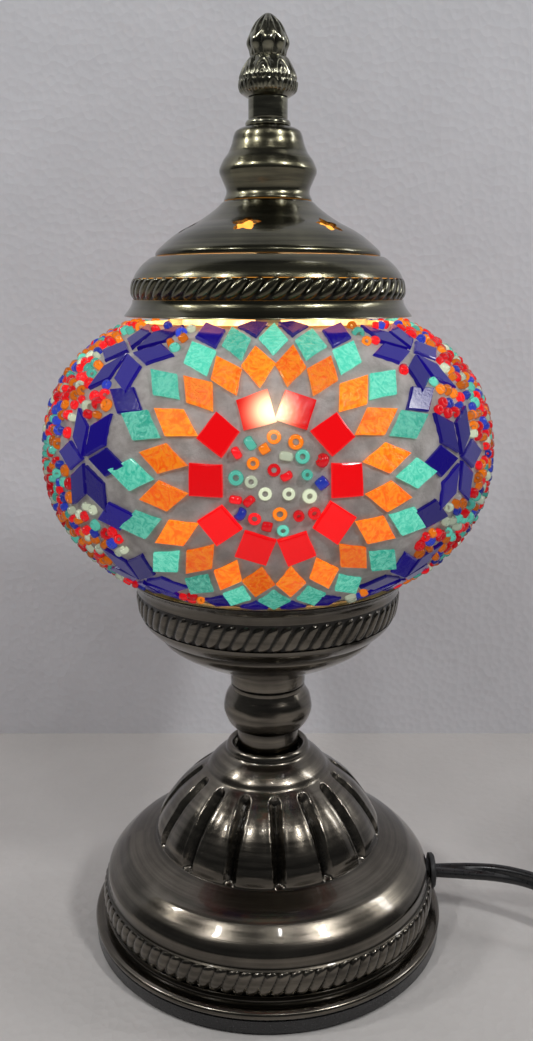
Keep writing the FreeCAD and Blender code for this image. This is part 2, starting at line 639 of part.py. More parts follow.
def plug_pieces():
    rear = PLUG_REAR
    low, high = rear.z - 7.0, rear.z + 7.0
    corners = [(0, -5.5), (8, -10.5), (26, -13.0), (35, -13.0), (35, 13.0), (26, 13.0), (8, 10.5), (0, 5.5)]
    points = [Vector(rear.x + x, rear.y + y, low) for x, y in corners + corners[:1]]
    body = Part.Face(Part.makePolygon(points)).extrude(Vector(0, 0, high - low))
    body = body.makeFillet(1.6, body.Edges)
    save("plug_body", body)
    pins = []
    for side in (-9.5, 9.5):
        pin = Part.makeCylinder(2.0, 18.0, Vector(rear.x + 35.0, rear.y + side, rear.z), Vector(1, 0, 0))
        tip = Part.makeSphere(2.0, Vector(rear.x + 53.0, rear.y + side, rear.z))
        pins.append(pin.fuse(tip))
    save("plug_pins", Part.makeCompound(pins))


def cord_pieces():
    coil = ring(
        COIL_MIDDLE - COIL_HALF_WIDTH, COIL_MIDDLE + COIL_HALF_WIDTH, 0.6, COIL_HEIGHT
    )
    coil.translate(COIL_CENTRE)
    save("cord_coil", coil)
    outer = COIL_MIDDLE + COIL_HALF_WIDTH + 1.0
    inner = COIL_MIDDLE - COIL_HALF_WIDTH - 1.0
    for_tie = box((inner, outer), (-3.0, 3.0), (0.0, COIL_HEIGHT + 0.8))
    for_tie.rotate(Vector(0, 0, 0), UP, TIE_HEADING)
    for_tie.translate(COIL_CENTRE)
    save("cord_tie", largest(for_tie.cut(coil)))

    lamp_run = [
        CORD_EXIT, Vector(80.0, -2.0, 20.6), Vector(94.0, -6.5, 22.4), Vector(108.0, -12.5, 21.8),
        Vector(120.0, -20.0, 16.5), Vector(129.0, -28.6, 10.4), SWITCH_INLET,
    ]
    coil_run = [
        switch_point(SWITCH_LENGTH, 8.0), switch_point(SWITCH_LENGTH + 13.0, 6.6), Vector(199.0, -69.0, 5.4),
        Vector(213.0, -62.0, 4.5), Vector(221.0, -48.6, 3.9), Vector(220.6, -32.4, 3.6), Vector(217.4, -16.0, 3.8),
        Vector(212.0, 1.0, 4.6), Vector(205.0, 17.0, 5.6),
    ]
    plug_run = [
        Vector(172.0, 49.0, 11.0), Vector(155.0, 51.0, 13.0), Vector(140.5, 44.5, 16.4), Vector(132.5, 29.0, 18.2),
        Vector(132.0, 10.5, 19.4), Vector(145.1, -2.6, 20.8), PLUG_REAR,
    ]
    add_cord("cord_to_switch", lamp_run, ["cord_grommet", "switch_lower", "switch_upper"])
    add_cord("cord_to_coil", coil_run, ["cord_coil", "switch_lower", "switch_upper"])
    add_cord("cord_to_plug", plug_run, ["cord_coil", "plug_body"])


def add_cord(name, route, ends):
    """A stretch of cord that meets the pieces at its ends face to face."""
    tube = cord_tube(name, route, CORD_RADIUS)
    for end in ends:
        tube = tube.cut(PIECES[end])
    save(name, largest(tube))


base_pieces()
stem_pieces()
cup_pieces()
holder_pieces()
bulb_pieces()
globe_pieces()
cap_pieces()
finial_pieces()
lead_pieces()
switch_pieces()
plug_pieces()
cord_pieces()
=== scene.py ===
"""Looks of the mosaic glass table lamp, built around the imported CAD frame. Sizes are in millimetres
and turned into metres where a mesh is made. Azimuths turn about +Z from the front, -Y, towards +X."""
import itertools
import json
import math
import random

import bpy
import numpy as np
from mathutils import Matrix, Vector
from mathutils.kdtree import KDTree

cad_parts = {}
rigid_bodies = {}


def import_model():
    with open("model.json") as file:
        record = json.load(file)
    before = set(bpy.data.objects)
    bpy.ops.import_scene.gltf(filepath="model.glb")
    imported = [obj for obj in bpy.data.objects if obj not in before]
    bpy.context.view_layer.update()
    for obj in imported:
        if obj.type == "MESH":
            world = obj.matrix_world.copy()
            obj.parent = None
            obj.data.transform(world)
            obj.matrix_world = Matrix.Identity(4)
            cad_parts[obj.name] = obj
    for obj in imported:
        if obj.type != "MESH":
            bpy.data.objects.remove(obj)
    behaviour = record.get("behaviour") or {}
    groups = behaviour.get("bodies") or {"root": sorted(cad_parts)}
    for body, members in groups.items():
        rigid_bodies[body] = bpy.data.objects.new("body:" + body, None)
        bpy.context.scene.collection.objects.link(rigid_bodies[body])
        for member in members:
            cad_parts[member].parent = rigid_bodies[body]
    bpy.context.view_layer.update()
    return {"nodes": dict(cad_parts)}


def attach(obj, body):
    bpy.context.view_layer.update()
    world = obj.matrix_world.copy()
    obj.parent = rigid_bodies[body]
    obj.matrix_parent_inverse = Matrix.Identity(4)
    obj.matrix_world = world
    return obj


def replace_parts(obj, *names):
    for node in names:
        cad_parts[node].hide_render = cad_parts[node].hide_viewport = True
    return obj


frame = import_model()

MM = 0.001
TURN = 2 * math.pi
RANDOM = random.Random(7)
NODES = frame["nodes"]

GLOBE_CENTRE = 190.7         # height of the globe's widest ring
SKIN_RADIUS = 78.0
SKIN_HALF_HEIGHT = 53.6
LOWER_ROUNDNESS = 2.16
UPPER_ROUNDNESS = 2.3
SQUARE_SIDE = 9.6
RHOMBUS_SIDE = 9.5
TILE_THICKNESS = 1.1
TILE_BEVEL = 0.34
TILE_WOBBLE = 0.4            # how far a hand-cut corner may be from its place
MEDALLION_ARC = 3.5          # a medallion's centre, along the skin from the widest ring
MEDALLION_FACES = (1.8, 181.8)
TILES_LOW = 147.9            # heights between which the mosaic lies, clear of the cup and the cap
TILES_HIGH = 237.6
BEAD_REACH = (80.15, 79.15)  # farthest a bead stands out to the sides, and to the front or back
BEAD_CELL = 5.0              # beads are looked up by cells of this size
BULB_HEIGHT = 212.0
FINIAL_FOOT = 301.4
SHARP_EDGE = 32.0            # turned edges sharper than this many degrees stay crisp
DOME_GROOVES = 15
GROOVE_HALF_WIDTH = 2.35
STAR_HOLES = 6
STAR_OUTLINE = 20            # points round a star-shaped hole

CORD_WIDTH = 6.6
LOBE_RADIUS = 1.9            # one of the flat cord's two round cores with its cover
COIL_CENTRE = (172.0, 15.0)
COIL_OUTSIDE = 40.8
COIL_LOWER_TURNS = 4.9
COIL_UPPER_TURNS = 2.3
COIL_INWARD_PITCH = 3.239
COIL_OUTWARD_PITCH = 4.0
COIL_POINTS = 16             # control points in a turn
COIL_WIDENING = 1.013        # makes up for a smooth line running inside its control points
SWITCH_INLET = (136.0, -34.0)
SWITCH_HEADING = -35.0
SWITCH_LENGTH = 46.0


# ---- materials ----

class Graph:
    """A material's nodes, with short ways to add and join them."""

    def __init__(self, name):
        self.material = bpy.data.materials.new(name)
        self.material.use_nodes = True
        self.tree = self.material.node_tree
        self.tree.nodes.clear()

    def add(self, kind, inputs=None, **settings):
        node = self.tree.nodes.new(kind)
        for key, value in settings.items():
            setattr(node, key, value)
        for key, value in (inputs or {}).items():
            self.feed(node.inputs[key], value)
        return node

    def feed(self, socket, value):
        if isinstance(value, bpy.types.NodeSocket):
            self.tree.links.new(value, socket)
        elif isinstance(value, bpy.types.Node):
            self.tree.links.new(value.outputs[0], socket)
        elif socket.type == "RGBA" and len(value) == 3:
            socket.default_value = (*value, 1.0)
        else:
            socket.default_value = value

    def place(self):
        return self.add("ShaderNodeTexCoord").outputs["Object"]

    def sums(self, operation, first, second=0.0, clamp=False):
        inputs = {0: first, 1: second}
        return self.add("ShaderNodeMath", inputs, operation=operation, use_clamp=clamp).outputs[0]

    def times(self, first, second, clamp=False):
        return self.sums("MULTIPLY", first, second, clamp)

    def plus(self, first, second):
        return self.sums("ADD", first, second)

    def power(self, first, second):
        return self.sums("POWER", first, second)

    def shares(self, first, first_share, second, second_share):
        return self.plus(self.times(first, first_share), self.times(second, second_share))

    def noise(self, vector, scale, detail=3.0, roughness=0.55, distortion=0.0):
        inputs = {
            "Vector": vector, "Scale": scale, "Detail": detail, "Roughness": roughness,
            "Distortion": distortion,
        }
        return self.add("ShaderNodeTexNoise", inputs).outputs["Fac"]

    def spread(self, value, low, high, to_low=0.0, to_high=1.0):
        """The value, eased from the first range to the second."""
        inputs = {"Value": value, "From Min": low, "From Max": high, "To Min": to_low, "To Max": to_high}
        return self.add("ShaderNodeMapRange", inputs, interpolation_type="SMOOTHSTEP").outputs[0]

    def blend(self, share, first, second):
        node = self.add("ShaderNodeMix", data_type="RGBA")
        self.feed(node.inputs[0], share)
        self.feed(node.inputs[6], first)
        self.feed(node.inputs[7], second)
        return node.outputs[2]

    def named(self, attribute):
        return self.add("ShaderNodeAttribute", attribute_name=attribute).outputs["Fac"]

    def bump(self, height, strength, distance):
        inputs = {"Height": height, "Strength": strength, "Distance": distance}
        return self.add("ShaderNodeBump", inputs).outputs[0]

    def ring_vector(self, around, along):
        """Object place as (distance from the axis, angle, height), each scaled."""
        split = self.add("ShaderNodeSeparateXYZ", {0: self.place()})
        angle = self.sums("ARCTAN2", split.outputs[1], split.outputs[0])
        squares = self.plus(self.power(split.outputs[0], 2.0), self.power(split.outputs[1], 2.0))
        radius = self.sums("SQRT", squares)
        return self.add("ShaderNodeCombineXYZ", {
            0: self.times(radius, along), 1: self.times(angle, around), 2: self.times(split.outputs[2], along),
        }).outputs[0]

    def finish(self, inputs, surface=None):
        shader = surface or self.add("ShaderNodeBsdfPrincipled", inputs)
        output = self.add("ShaderNodeOutputMaterial")
        self.tree.links.new(shader.outputs[0], output.inputs[0])
        return self.material


def spun_metal(name, bright, dark, roughness, brushing=0.09):
    """Dark antiqued plating: fine turning lines, lighter worn ridges and painted shade darkening its hollows.
    """
    g = Graph(name)
    lines = g.noise(g.ring_vector(0.25, 3200.0), 1.0, 4.0, 0.7)
    bands = g.noise(g.ring_vector(0.5, 520.0), 1.0, 3.0, 0.6)
    patina = g.noise(g.place(), 55.0, 5.0, 0.6)
    wear = g.spread(g.shares(bands, 0.6, patina, 0.4), 0.32, 0.68)
    plain = g.blend(wear, dark, bright)
    # painted shade: the turned pieces' values for their grooves, gaps and steps darken the colour there, down
    # to a sixth of the dark tone
    shade_share = g.named("hollow_shade")
    shade = tuple(c * 0.16 for c in dark)
    colour = g.blend(shade_share, plain, shade)
    gloss = g.plus(g.times(bands, 0.16), roughness - 0.08)
    gloss = g.plus(gloss, g.times(shade_share, 0.12))
    tangent = g.add("ShaderNodeTangent", direction_type="RADIAL", axis="Z")
    return g.finish({
        "Base Color": colour, "Metallic": 1.0, "Roughness": gloss, "Anisotropic": 0.55,
        "Tangent": tangent, "Coat Weight": 0.5, "Coat Roughness": 0.05,
        "Normal": g.bump(lines, brushing, 0.0004),
    })


def moulded(name, colour, roughness, grain=900.0, depth=0.15, coat=0.0):
    """Moulded or painted stuff with a fine grain and a little unevenness."""
    g = Graph(name)
    patches = g.noise(g.place(), 70.0, 3.0)
    fine = g.noise(g.place(), grain, 4.0, 0.65)
    tone = g.blend(g.spread(patches, 0.3, 0.7), tuple(0.75 * c for c in colour), colour)
    gloss = g.spread(fine, 0.25, 0.75, roughness - 0.06, roughness + 0.1)
    return g.finish({
        "Base Color": tone, "Roughness": gloss, "Coat Weight": coat, "Coat Roughness": 0.15,
        "Normal": g.bump(fine, depth, 0.0003),
    })


def machined(name, colour, roughness):
    """Turned or stamped metal with fine tool lines and uneven shine."""
    g = Graph(name)
    lines = g.noise(g.ring_vector(0.3, 1800.0), 1.0, 3.0, 0.6)
    blotch = g.noise(g.place(), 160.0, 4.0)
    tone = g.blend(g.spread(blotch, 0.3, 0.7), tuple(0.7 * c for c in colour), colour)
    gloss = g.spread(lines, 0.2, 0.8, roughness - 0.08, roughness + 0.12)
    return g.finish({
        "Base Color": tone, "Metallic": 1.0, "Roughness": gloss,
        "Normal": g.bump(lines, 0.12, 0.0003),
    })


def glow_places(g):
    """Masks for painted light: how near a point is to the bulb, and to the bright spot its light throws on the
    front and back, which is painted in.
    """
    split = g.add("ShaderNodeSeparateXYZ", {0: g.place()})
    facing = g.add("ShaderNodeCombineXYZ", {
        0: split.outputs[0], 1: g.sums("ABSOLUTE", split.outputs[1]), 2: split.outputs[2],
    }).outputs[0]
    # the bulb's place and the painted hot spot's place, mirrored front and back
    bulb = (0.0, 0.018, BULB_HEIGHT * MM)
    spot = (0.001, 0.0765, 0.2155)
    to_bulb = g.add("ShaderNodeVectorMath", {0: facing, 1: bulb}, operation="DISTANCE")
    to_spot = g.add("ShaderNodeVectorMath", {0: facing, 1: spot}, operation="DISTANCE")
    near = g.spread(to_bulb.outputs["Value"], 0.055, 0.098, 1.0, 0.0)
    hot = g.spread(to_spot.outputs["Value"], 0.0015, 0.0125, 1.0, 0.0)
    return near, hot


def lit_glass(name, body, deep, glowing, strength, hot_share, ripple=0.0, near_bulb_yellow_glow=0.0, bead=False):
    """Coloured glass whose light from the lamp behind it is painted in as a glow: the nearer the lamp, the
    lighter and yellower, with a painted hot spot.
    """
    g = Graph(name)
    near, hot = glow_places(g)
    tint = g.named("tint")
    streaks = g.noise(g.place(), 330.0 if ripple else 120.0, 3.0, 0.6, 1.8)
    fine = g.noise(g.place(), 900.0, 3.0, 0.6, 0.6)
    figure = g.spread(g.shares(streaks, 0.75, fine, 0.25), 0.36, 0.64)
    # painted glow: the colour is lighter nearer the bulb
    colour = g.blend(g.shares(near, 0.62, tint, 0.38), deep, body)
    # the ripple glass's figure, drawn as streaks of the painted glow colour
    if ripple:
        colour = g.blend(g.times(figure, ripple), colour, glowing)
    # painted glow: yellower close to the bulb, along the glass's figure
    yellow = g.times(g.power(near, 3.0), g.times(figure, near_bulb_yellow_glow))
    colour = g.blend(yellow, colour, glowing)
    # painted hot spot: a pale yellow flash where the bulb's light is strongest
    flash = g.times(g.power(hot, 1.6), hot_share, True)
    colour = g.blend(flash, colour, (1.0, 0.86, 0.5))
    # strength of the painted glow, higher nearer the bulb
    power = g.times(g.spread(near, 0.0, 1.0, 0.5, 1.1), strength)
    power = g.times(power, g.spread(tint, 0.0, 1.0, 0.75, 1.15))
    if bead:
        # painted glow on a bead, dimmer where its surface turns away
        rim = g.add("ShaderNodeLayerWeight", {"Blend": 0.45}).outputs["Facing"]
        power = g.times(power, g.spread(rim, 0.15, 0.85, 1.15, 0.35))
    return g.finish({
        "Base Color": g.blend(0.55, deep, (0.0, 0.0, 0.0)), "Roughness": 0.06 if bead else 0.1,
        "IOR": 1.5, "Specular IOR Level": 0.32, "Coat Weight": 0.2, "Coat Roughness": 0.03,
        "Emission Color": colour, "Emission Strength": g.plus(power, g.times(flash, 1.6)),
        "Normal": g.bump(figure if ripple else fine, 0.35 if ripple else 0.05, 0.0008),
    })


def grout_stuff():
    """Grey grout, gritty and smeared, with a faint painted warm glow near the bulb and its bright spot."""
    g = Graph("grout_paste")
    near, hot = glow_places(g)
    grain = g.noise(g.place(), 1400.0, 5.0, 0.7)
    smears = g.noise(g.place(), 130.0, 5.0, 0.62)
    tone = g.blend(g.spread(smears, 0.3, 0.7), (0.30, 0.285, 0.28), (0.52, 0.50, 0.49))
    tone = g.blend(g.spread(grain, 0.62, 0.8, 0.0, 0.6), tone, (0.16, 0.15, 0.15))
    return g.finish({
        # the emission is painted light from the bulb
        "Base Color": tone, "Roughness": 0.85, "Emission Color": (1.0, 0.72, 0.5),
        "Emission Strength": g.shares(g.power(near, 2.5), 0.05, hot, 0.25),
        "Normal": g.bump(g.plus(grain, smears), 0.5, 0.0005),
    })


def glowing_glass():
    """Bare glass of the globe, glowing with the bulb's light painted in as emission: it shows only as bright
    slits at the cup and the cap.
    """
    g = Graph("bare_glass")
    near, _ = glow_places(g)
    patches = g.noise(g.place(), 210.0, 3.0)
    colour = g.blend(g.spread(patches, 0.35, 0.65), (1.0, 0.62, 0.12), (1.0, 0.85, 0.45))
    power = g.spread(patches, 0.3, 0.75, 0.4, 1.5)
    return g.finish({
        # painted light: the emission stands in for the bulb's light through the glass
        "Base Color": (0.8, 0.7, 0.5), "Roughness": 0.12, "IOR": 1.5, "Emission Color": colour,
        "Emission Strength": g.times(power, g.spread(near, 0.0, 1.0, 0.75, 1.0)),
    })


def warm_inside():
    """Inside of the cap, with the lamp's wash of light from below painted in as a warm glow."""
    g = Graph("cap_inside")
    patches = g.noise(g.place(), 120.0, 3.0)
    lit = g.spread(patches, 0.3, 0.7, 0.5, 1.0)
    return g.finish({
        # painted light: the warm emission stands in for the lamp's light
        "Base Color": (0.42, 0.26, 0.1), "Metallic": 0.6, "Roughness": 0.5,
        "Emission Color": g.blend(patches, (1.0, 0.33, 0.02), (1.0, 0.5, 0.1)), "Emission Strength": lit,
    })


def clear_glass(name, colour, strength):
    """Clear glass of the bulb, lit from within."""
    g = Graph(name)
    thin = g.noise(g.place(), 90.0, 2.0)
    return g.finish({
        "Base Color": colour, "Roughness": 0.04, "IOR": 1.5, "Transmission Weight": 0.9,
        "Emission Color": (1.0, 0.8, 0.5),
        "Emission Strength": g.spread(thin, 0.2, 0.8, 0.8 * strength, strength),
    })


def foam_board(name, colour, backface=False):
    """Pale foam board with its faint beads; seen from behind, the backdrop lets the view through."""
    g = Graph(name)
    cells = g.add("ShaderNodeTexVoronoi", {"Vector": g.place(), "Scale": 260.0}).outputs["Distance"]
    smears = g.noise(g.place(), 14.0, 5.0, 0.6)
    tone = g.blend(g.spread(smears, 0.3, 0.7), tuple(0.93 * c for c in colour), colour)
    board = g.add("ShaderNodeBsdfPrincipled", {
        "Base Color": tone, "Roughness": 0.75, "Normal": g.bump(g.plus(cells, smears), 0.25, 0.0012),
    })
    if not backface:
        return g.finish(None, board)
    through = g.add("ShaderNodeBsdfTransparent")
    side = g.add("ShaderNodeNewGeometry").outputs["Backfacing"]
    mixed = g.add("ShaderNodeMixShader", {0: side})
    g.tree.links.new(board.outputs[0], mixed.inputs[1])
    g.tree.links.new(through.outputs[0], mixed.inputs[2])
    return g.finish(None, mixed)


METAL = spun_metal("antiqued_metal", (0.19, 0.168, 0.136), (0.062, 0.054, 0.042), 0.2)
CAP_METAL = spun_metal("antiqued_cap_metal", (0.175, 0.163, 0.105), (0.055, 0.051, 0.032), 0.2)
FINIAL_METAL = spun_metal("finial_plating", (0.30, 0.29, 0.21), (0.11, 0.105, 0.075), 0.19, 0.03)
CAP_INSIDE = warm_inside()
BLACK_PAINT = moulded("black_paint", (0.012, 0.012, 0.013), 0.28, coat=0.3)
FELT = moulded("black_felt", (0.02, 0.02, 0.02), 0.9, 2600.0, 0.9)
IRON = moulded("cast_iron", (0.09, 0.085, 0.08), 0.6, 500.0, 0.8)
ZINC = machined("zinc_plate", (0.55, 0.55, 0.53), 0.3)
BRASS = machined("brass_plate", (0.72, 0.55, 0.26), 0.28)
HOLDER_PLASTIC = moulded("holder_phenolic", (0.02, 0.02, 0.02), 0.35)
CERAMIC = moulded("white_ceramic", (0.75, 0.73, 0.68), 0.5)
RUBBER = moulded("black_rubber", (0.016, 0.016, 0.017), 0.5, 1400.0, 0.3)
CORD_SKIN = moulded("cord_cover", (0.011, 0.011, 0.012), 0.3, 700.0, 0.12, 0.25)
MOULDING = moulded("switch_moulding", (0.014, 0.014, 0.015), 0.36, 1800.0, 0.25)
GROUT = grout_stuff()
BARE_GLASS = glowing_glass()
BULB_GLASS = clear_glass("bulb_clear_glass", (1.0, 0.93, 0.8), 1.4)
STEM_GLASS = clear_glass("bulb_stem_glass", (0.93, 0.95, 0.94), 0.2)
# coloured glass for tiles and beads: body, deep and glow colours, with painted glow from the bulb
RED = lit_glass(
    "red_sheet_glass", (1.0, 0.004, 0.004), (0.55, 0.0, 0.006), (1.0, 0.30, 0.02), strength=0.86, hot_share=1.0)
ORANGE = lit_glass(
    "orange_ripple_glass", (1.0, 0.16, 0.004), (0.78, 0.05, 0.002), (1.0, 0.42, 0.02), strength=0.88,
    hot_share=0.8, ripple=0.45, near_bulb_yellow_glow=0.5)
TURQUOISE = lit_glass(
    "turquoise_water_glass", (0.07, 0.66, 0.44), (0.005, 0.19, 0.16), (0.30, 0.95, 0.70), strength=0.78,
    hot_share=0.3, ripple=0.6)
BLUE = lit_glass(
    "cobalt_sheet_glass", (0.012, 0.004, 0.28), (0.006, 0.002, 0.13), (0.03, 0.02, 0.6), strength=0.55,
    hot_share=0.1)
BEAD_COLOURS = ("red", "amber", "blue", "mint", "clear")
BEAD_SHARES = (34, 22, 16, 16, 12)
BEAD_SLOTS = ("red_glass", "orange_glass", "blue_glass", "turquoise_glass", "clear_glass")
BEAD_GLASS = {
    colour: lit_glass(colour + "_bead_glass", body, deep, glowing, strength, hot_share, bead=True)
    for colour, body, deep, glowing, strength, hot_share in (
        ("red", (0.85, 0.012, 0.016), (0.28, 0.0, 0.004), (1.0, 0.2, 0.1), 0.95, 0.3),
        ("amber", (0.85, 0.20, 0.01), (0.19, 0.03, 0.0), (1.0, 0.6, 0.1), 0.95, 0.5),
        ("blue", (0.03, 0.06, 0.55), (0.005, 0.006, 0.10), (0.3, 0.4, 1.0), 0.85, 0.3),
        ("mint", (0.14, 0.62, 0.45), (0.02, 0.19, 0.17), (0.5, 1.0, 0.8), 0.85, 0.3),
        ("clear", (0.75, 0.80, 0.55), (0.30, 0.36, 0.30), (1.0, 1.0, 0.8), 0.7, 0.5),
    )
}


# ---- shared shapes ----

def limited(value):
    """The value, kept between 0 and 1."""
    return min(1.0, max(0.0, value))


def eased(share):
    """A share from 0 to 1 that starts and ends its rise gently."""
    return share * share * (3 - 2 * share)


def wrapped(value, period):
    """The value's nearest distance from a whole number of periods."""
    return (value + period / 2) % period - period / 2


def length_along(path):
    """Distance along a path to each of its points."""
    return np.concatenate([[0.0], np.cumsum(np.linalg.norm(np.diff(path, axis=0), axis=1))])


def ring_faces(rings, count, base=0, closed=False):
    """Quads between rings of points, from the first to the last, or round to the first again."""
    faces = []
    for i in range(rings if closed else rings - 1):
        low = base + i * count
        high = base + (i + 1) % rings * count
        for j in range(count):
            k = (j + 1) % count
            faces.append((low + j, low + k, high + k, high + j))
    return faces


def end_faces(rings, count, base=0):
    """The two polygons that close a stack of rings."""
    last = base + (rings - 1) * count
    return [tuple(base + j for j in reversed(range(count))), tuple(last + j for j in range(count))]


def add_object(name, data):
    item = bpy.data.objects.new(name, data)
    bpy.context.scene.collection.objects.link(item)
    return item


def evaluated_mesh(item):
    """The mesh that an object's modifiers or curve settings make."""
    return bpy.data.meshes.new_from_object(item.evaluated_get(bpy.context.evaluated_depsgraph_get()))


def make_piece(name, vertices, faces, materials, body="root", finish=None, smooth=True, sharp=None,
               marks=None):
    """A mesh from points in millimetres, with its body and slot. marks are named values at its points."""
    mesh = bpy.data.meshes.new(name)
    mesh.from_pydata((np.asarray(vertices, float) * MM).tolist(), [], faces)
    for material in materials:
        mesh.materials.append(material)
    if finish is not None:
        mesh.polygons.foreach_set("material_index", finish)
    for key, values in (marks or {}).items():
        attribute = mesh.attributes.new(key, "FLOAT", "POINT")
        attribute.data.foreach_set("value", np.asarray(values, np.float32))
    mesh.polygons.foreach_set("use_smooth", [smooth] * len(mesh.polygons))
    mesh.update()
    if sharp is not None:
        mesh.set_sharp_from_angle(angle=math.radians(sharp))
    piece = add_object(name, mesh)
    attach(piece, body)
    return piece


# ---- turned pieces ----

def smooth_run(points, step):
    """Points about a step apart on a smooth line through the given ones."""
    given = [np.array(p, float) for p in points]
    padded = [2 * given[0] - given[1]] + given + [2 * given[-1] - given[-2]]
    line = []
    for a, b, c, d in zip(padded, padded[1:], padded[2:], padded[3:]):
        count = max(1, round(float(np.linalg.norm(c - b)) / step))
        for k in range(count):
            t = k / count
            squared = (2 * a - 5 * b + 4 * c - d) * t**2
            cubed = (3 * b - 3 * c + d - a) * t**3
            line.append(0.5 * (2 * b + (c - a) * t + squared + cubed))
    return line + [given[-1]]


def run(points, columns=180, relief=None, finish=0, straight=False):
    """One stretch of an outline, on from where the last one ended."""
    return {"points": points, "columns": columns, "relief": relief, "finish": finish, "straight": straight}


def outline_line(start, runs, step):
    """One line through all runs, softened at its corners, and the part of it that each run covers."""
    line = [np.array(start, float)]
    spans = []
    for one in runs:
        first = len(line) - 1
        joints = [tuple(line[-1])] + one["points"]
        if one["straight"]:
            for a, b in zip(joints, joints[1:]):
                line += smooth_run([a, b], step)[1:]
        else:
            line += smooth_run(joints, step)[1:]
        spans.append((first, len(line)))
    line = np.array(line)
    for _ in range(2):
        line[1:-1] = 0.25 * line[:-2] + 0.5 * line[1:-1] + 0.25 * line[2:]
    return line, spans


def turned(name, start, runs, materials, body="root", step=0.45):
    """A piece turned from an outline. A run's relief gives (outward push, painted shade in its grooves and
    gaps).
    """
    line, spans = outline_line(start, runs, step)
    slope = np.gradient(line, axis=0)
    slope /= np.linalg.norm(slope, axis=1)[:, None] + 1e-12
    vertices, faces, hollow_shade, finish = [], [], [], []
    for (first, last), one in zip(spans, runs):
        columns, rows = one["columns"], last - first
        flat = np.zeros((rows, columns))
        theta = np.arange(columns)[None, :] * TURN / columns + flat
        r = line[first:last, 0][:, None] + flat
        z = line[first:last, 1][:, None] + flat
        push, shade_share = flat, flat
        if one["relief"]:
            push, shade_share = one["relief"](theta, r, z)
        radius = r + slope[first:last, 1][:, None] * push
        height = z - slope[first:last, 0][:, None] * push
        faces.extend(ring_faces(rows, columns, len(vertices)))
        finish.extend([one["finish"]] * ((rows - 1) * columns))
        grid = np.stack([radius * np.sin(theta), -radius * np.cos(theta), height], axis=-1)
        vertices.extend(grid.reshape(-1, 3).tolist())
        # painted shade at each point, kept for the metal's colour
        hollow_shade.extend(np.clip(shade_share, 0, 1).ravel().tolist())
    marks = {"hollow_shade": hollow_shade}
    return make_piece(name, vertices, faces, materials, body, finish, True, SHARP_EDGE, marks)


def rope(count, low, high, lean, height, sunk, fullness=0.5):
    """Slanted rounded ribs with painted shade in the gaps between them, rounded off at the band's two edges."""
    def relief(theta, r, z):
        pitch = TURN / count
        above = z - (low + high) / 2
        offset = wrapped(theta - lean * above / r, pitch) * r
        half_width = pitch * r * fullness
        half_height = (high - low) / 2
        beyond = np.maximum(np.abs(above) - (half_height - half_width), 0.0)
        away = np.sqrt(offset**2 + beyond**2) / half_width
        rib = np.sqrt(np.clip(1 - away**2, 0, 1))
        # the second value is painted shade, darkest in the gaps between the ribs
        return height * rib - sunk, np.clip((away - 0.72) * 2.6, 0, 1)
    return relief


def dome_flutes(theta, r, z):
    """Round-ended grooves down the dome, with gently swollen lobes between them, and painted shade in the
    grooves.
    """
    pitch = TURN / DOME_GROOVES
    offset = wrapped(theta - math.radians(5.5), pitch)
    across = np.abs(offset) * r
    past_top = np.maximum(z - 63.8, 0.0) * 1.25
    past_bottom = np.maximum(41.4 - z, 0.0) * 1.6
    away = np.sqrt(across**2 + (past_top + past_bottom) ** 2)
    groove = np.clip(1 - away / GROOVE_HALF_WIDTH, 0, 1) ** 0.75
    fade = np.clip((z - 40.3) / 4.0, 0, 1) * np.clip((67.0 - z) / 7.0, 0, 1)
    from_middle = np.clip((pitch / 2 - np.abs(offset)) / (pitch / 2), -1, 1)
    lobe = np.cos(from_middle * math.pi / 2) ** 0.9 * fade
    lip = np.exp(-((away - GROOVE_HALF_WIDTH - 0.5) / 0.7) ** 2) * 0.22 * fade
    # the second value is painted shade in the grooves
    return 1.15 * lobe - 2.0 * groove + lip - 0.6 * fade, groove**1.3 * 0.9


def shade_step(low, high, dark):
    """Painted shade in a turned groove between two heights."""
    def relief(theta, r, z):
        middle, half = (low + high) / 2, (high - low) / 2
        return 0 * z, dark * np.clip(1 - np.abs(z - middle) / half, 0, 1)
    return relief


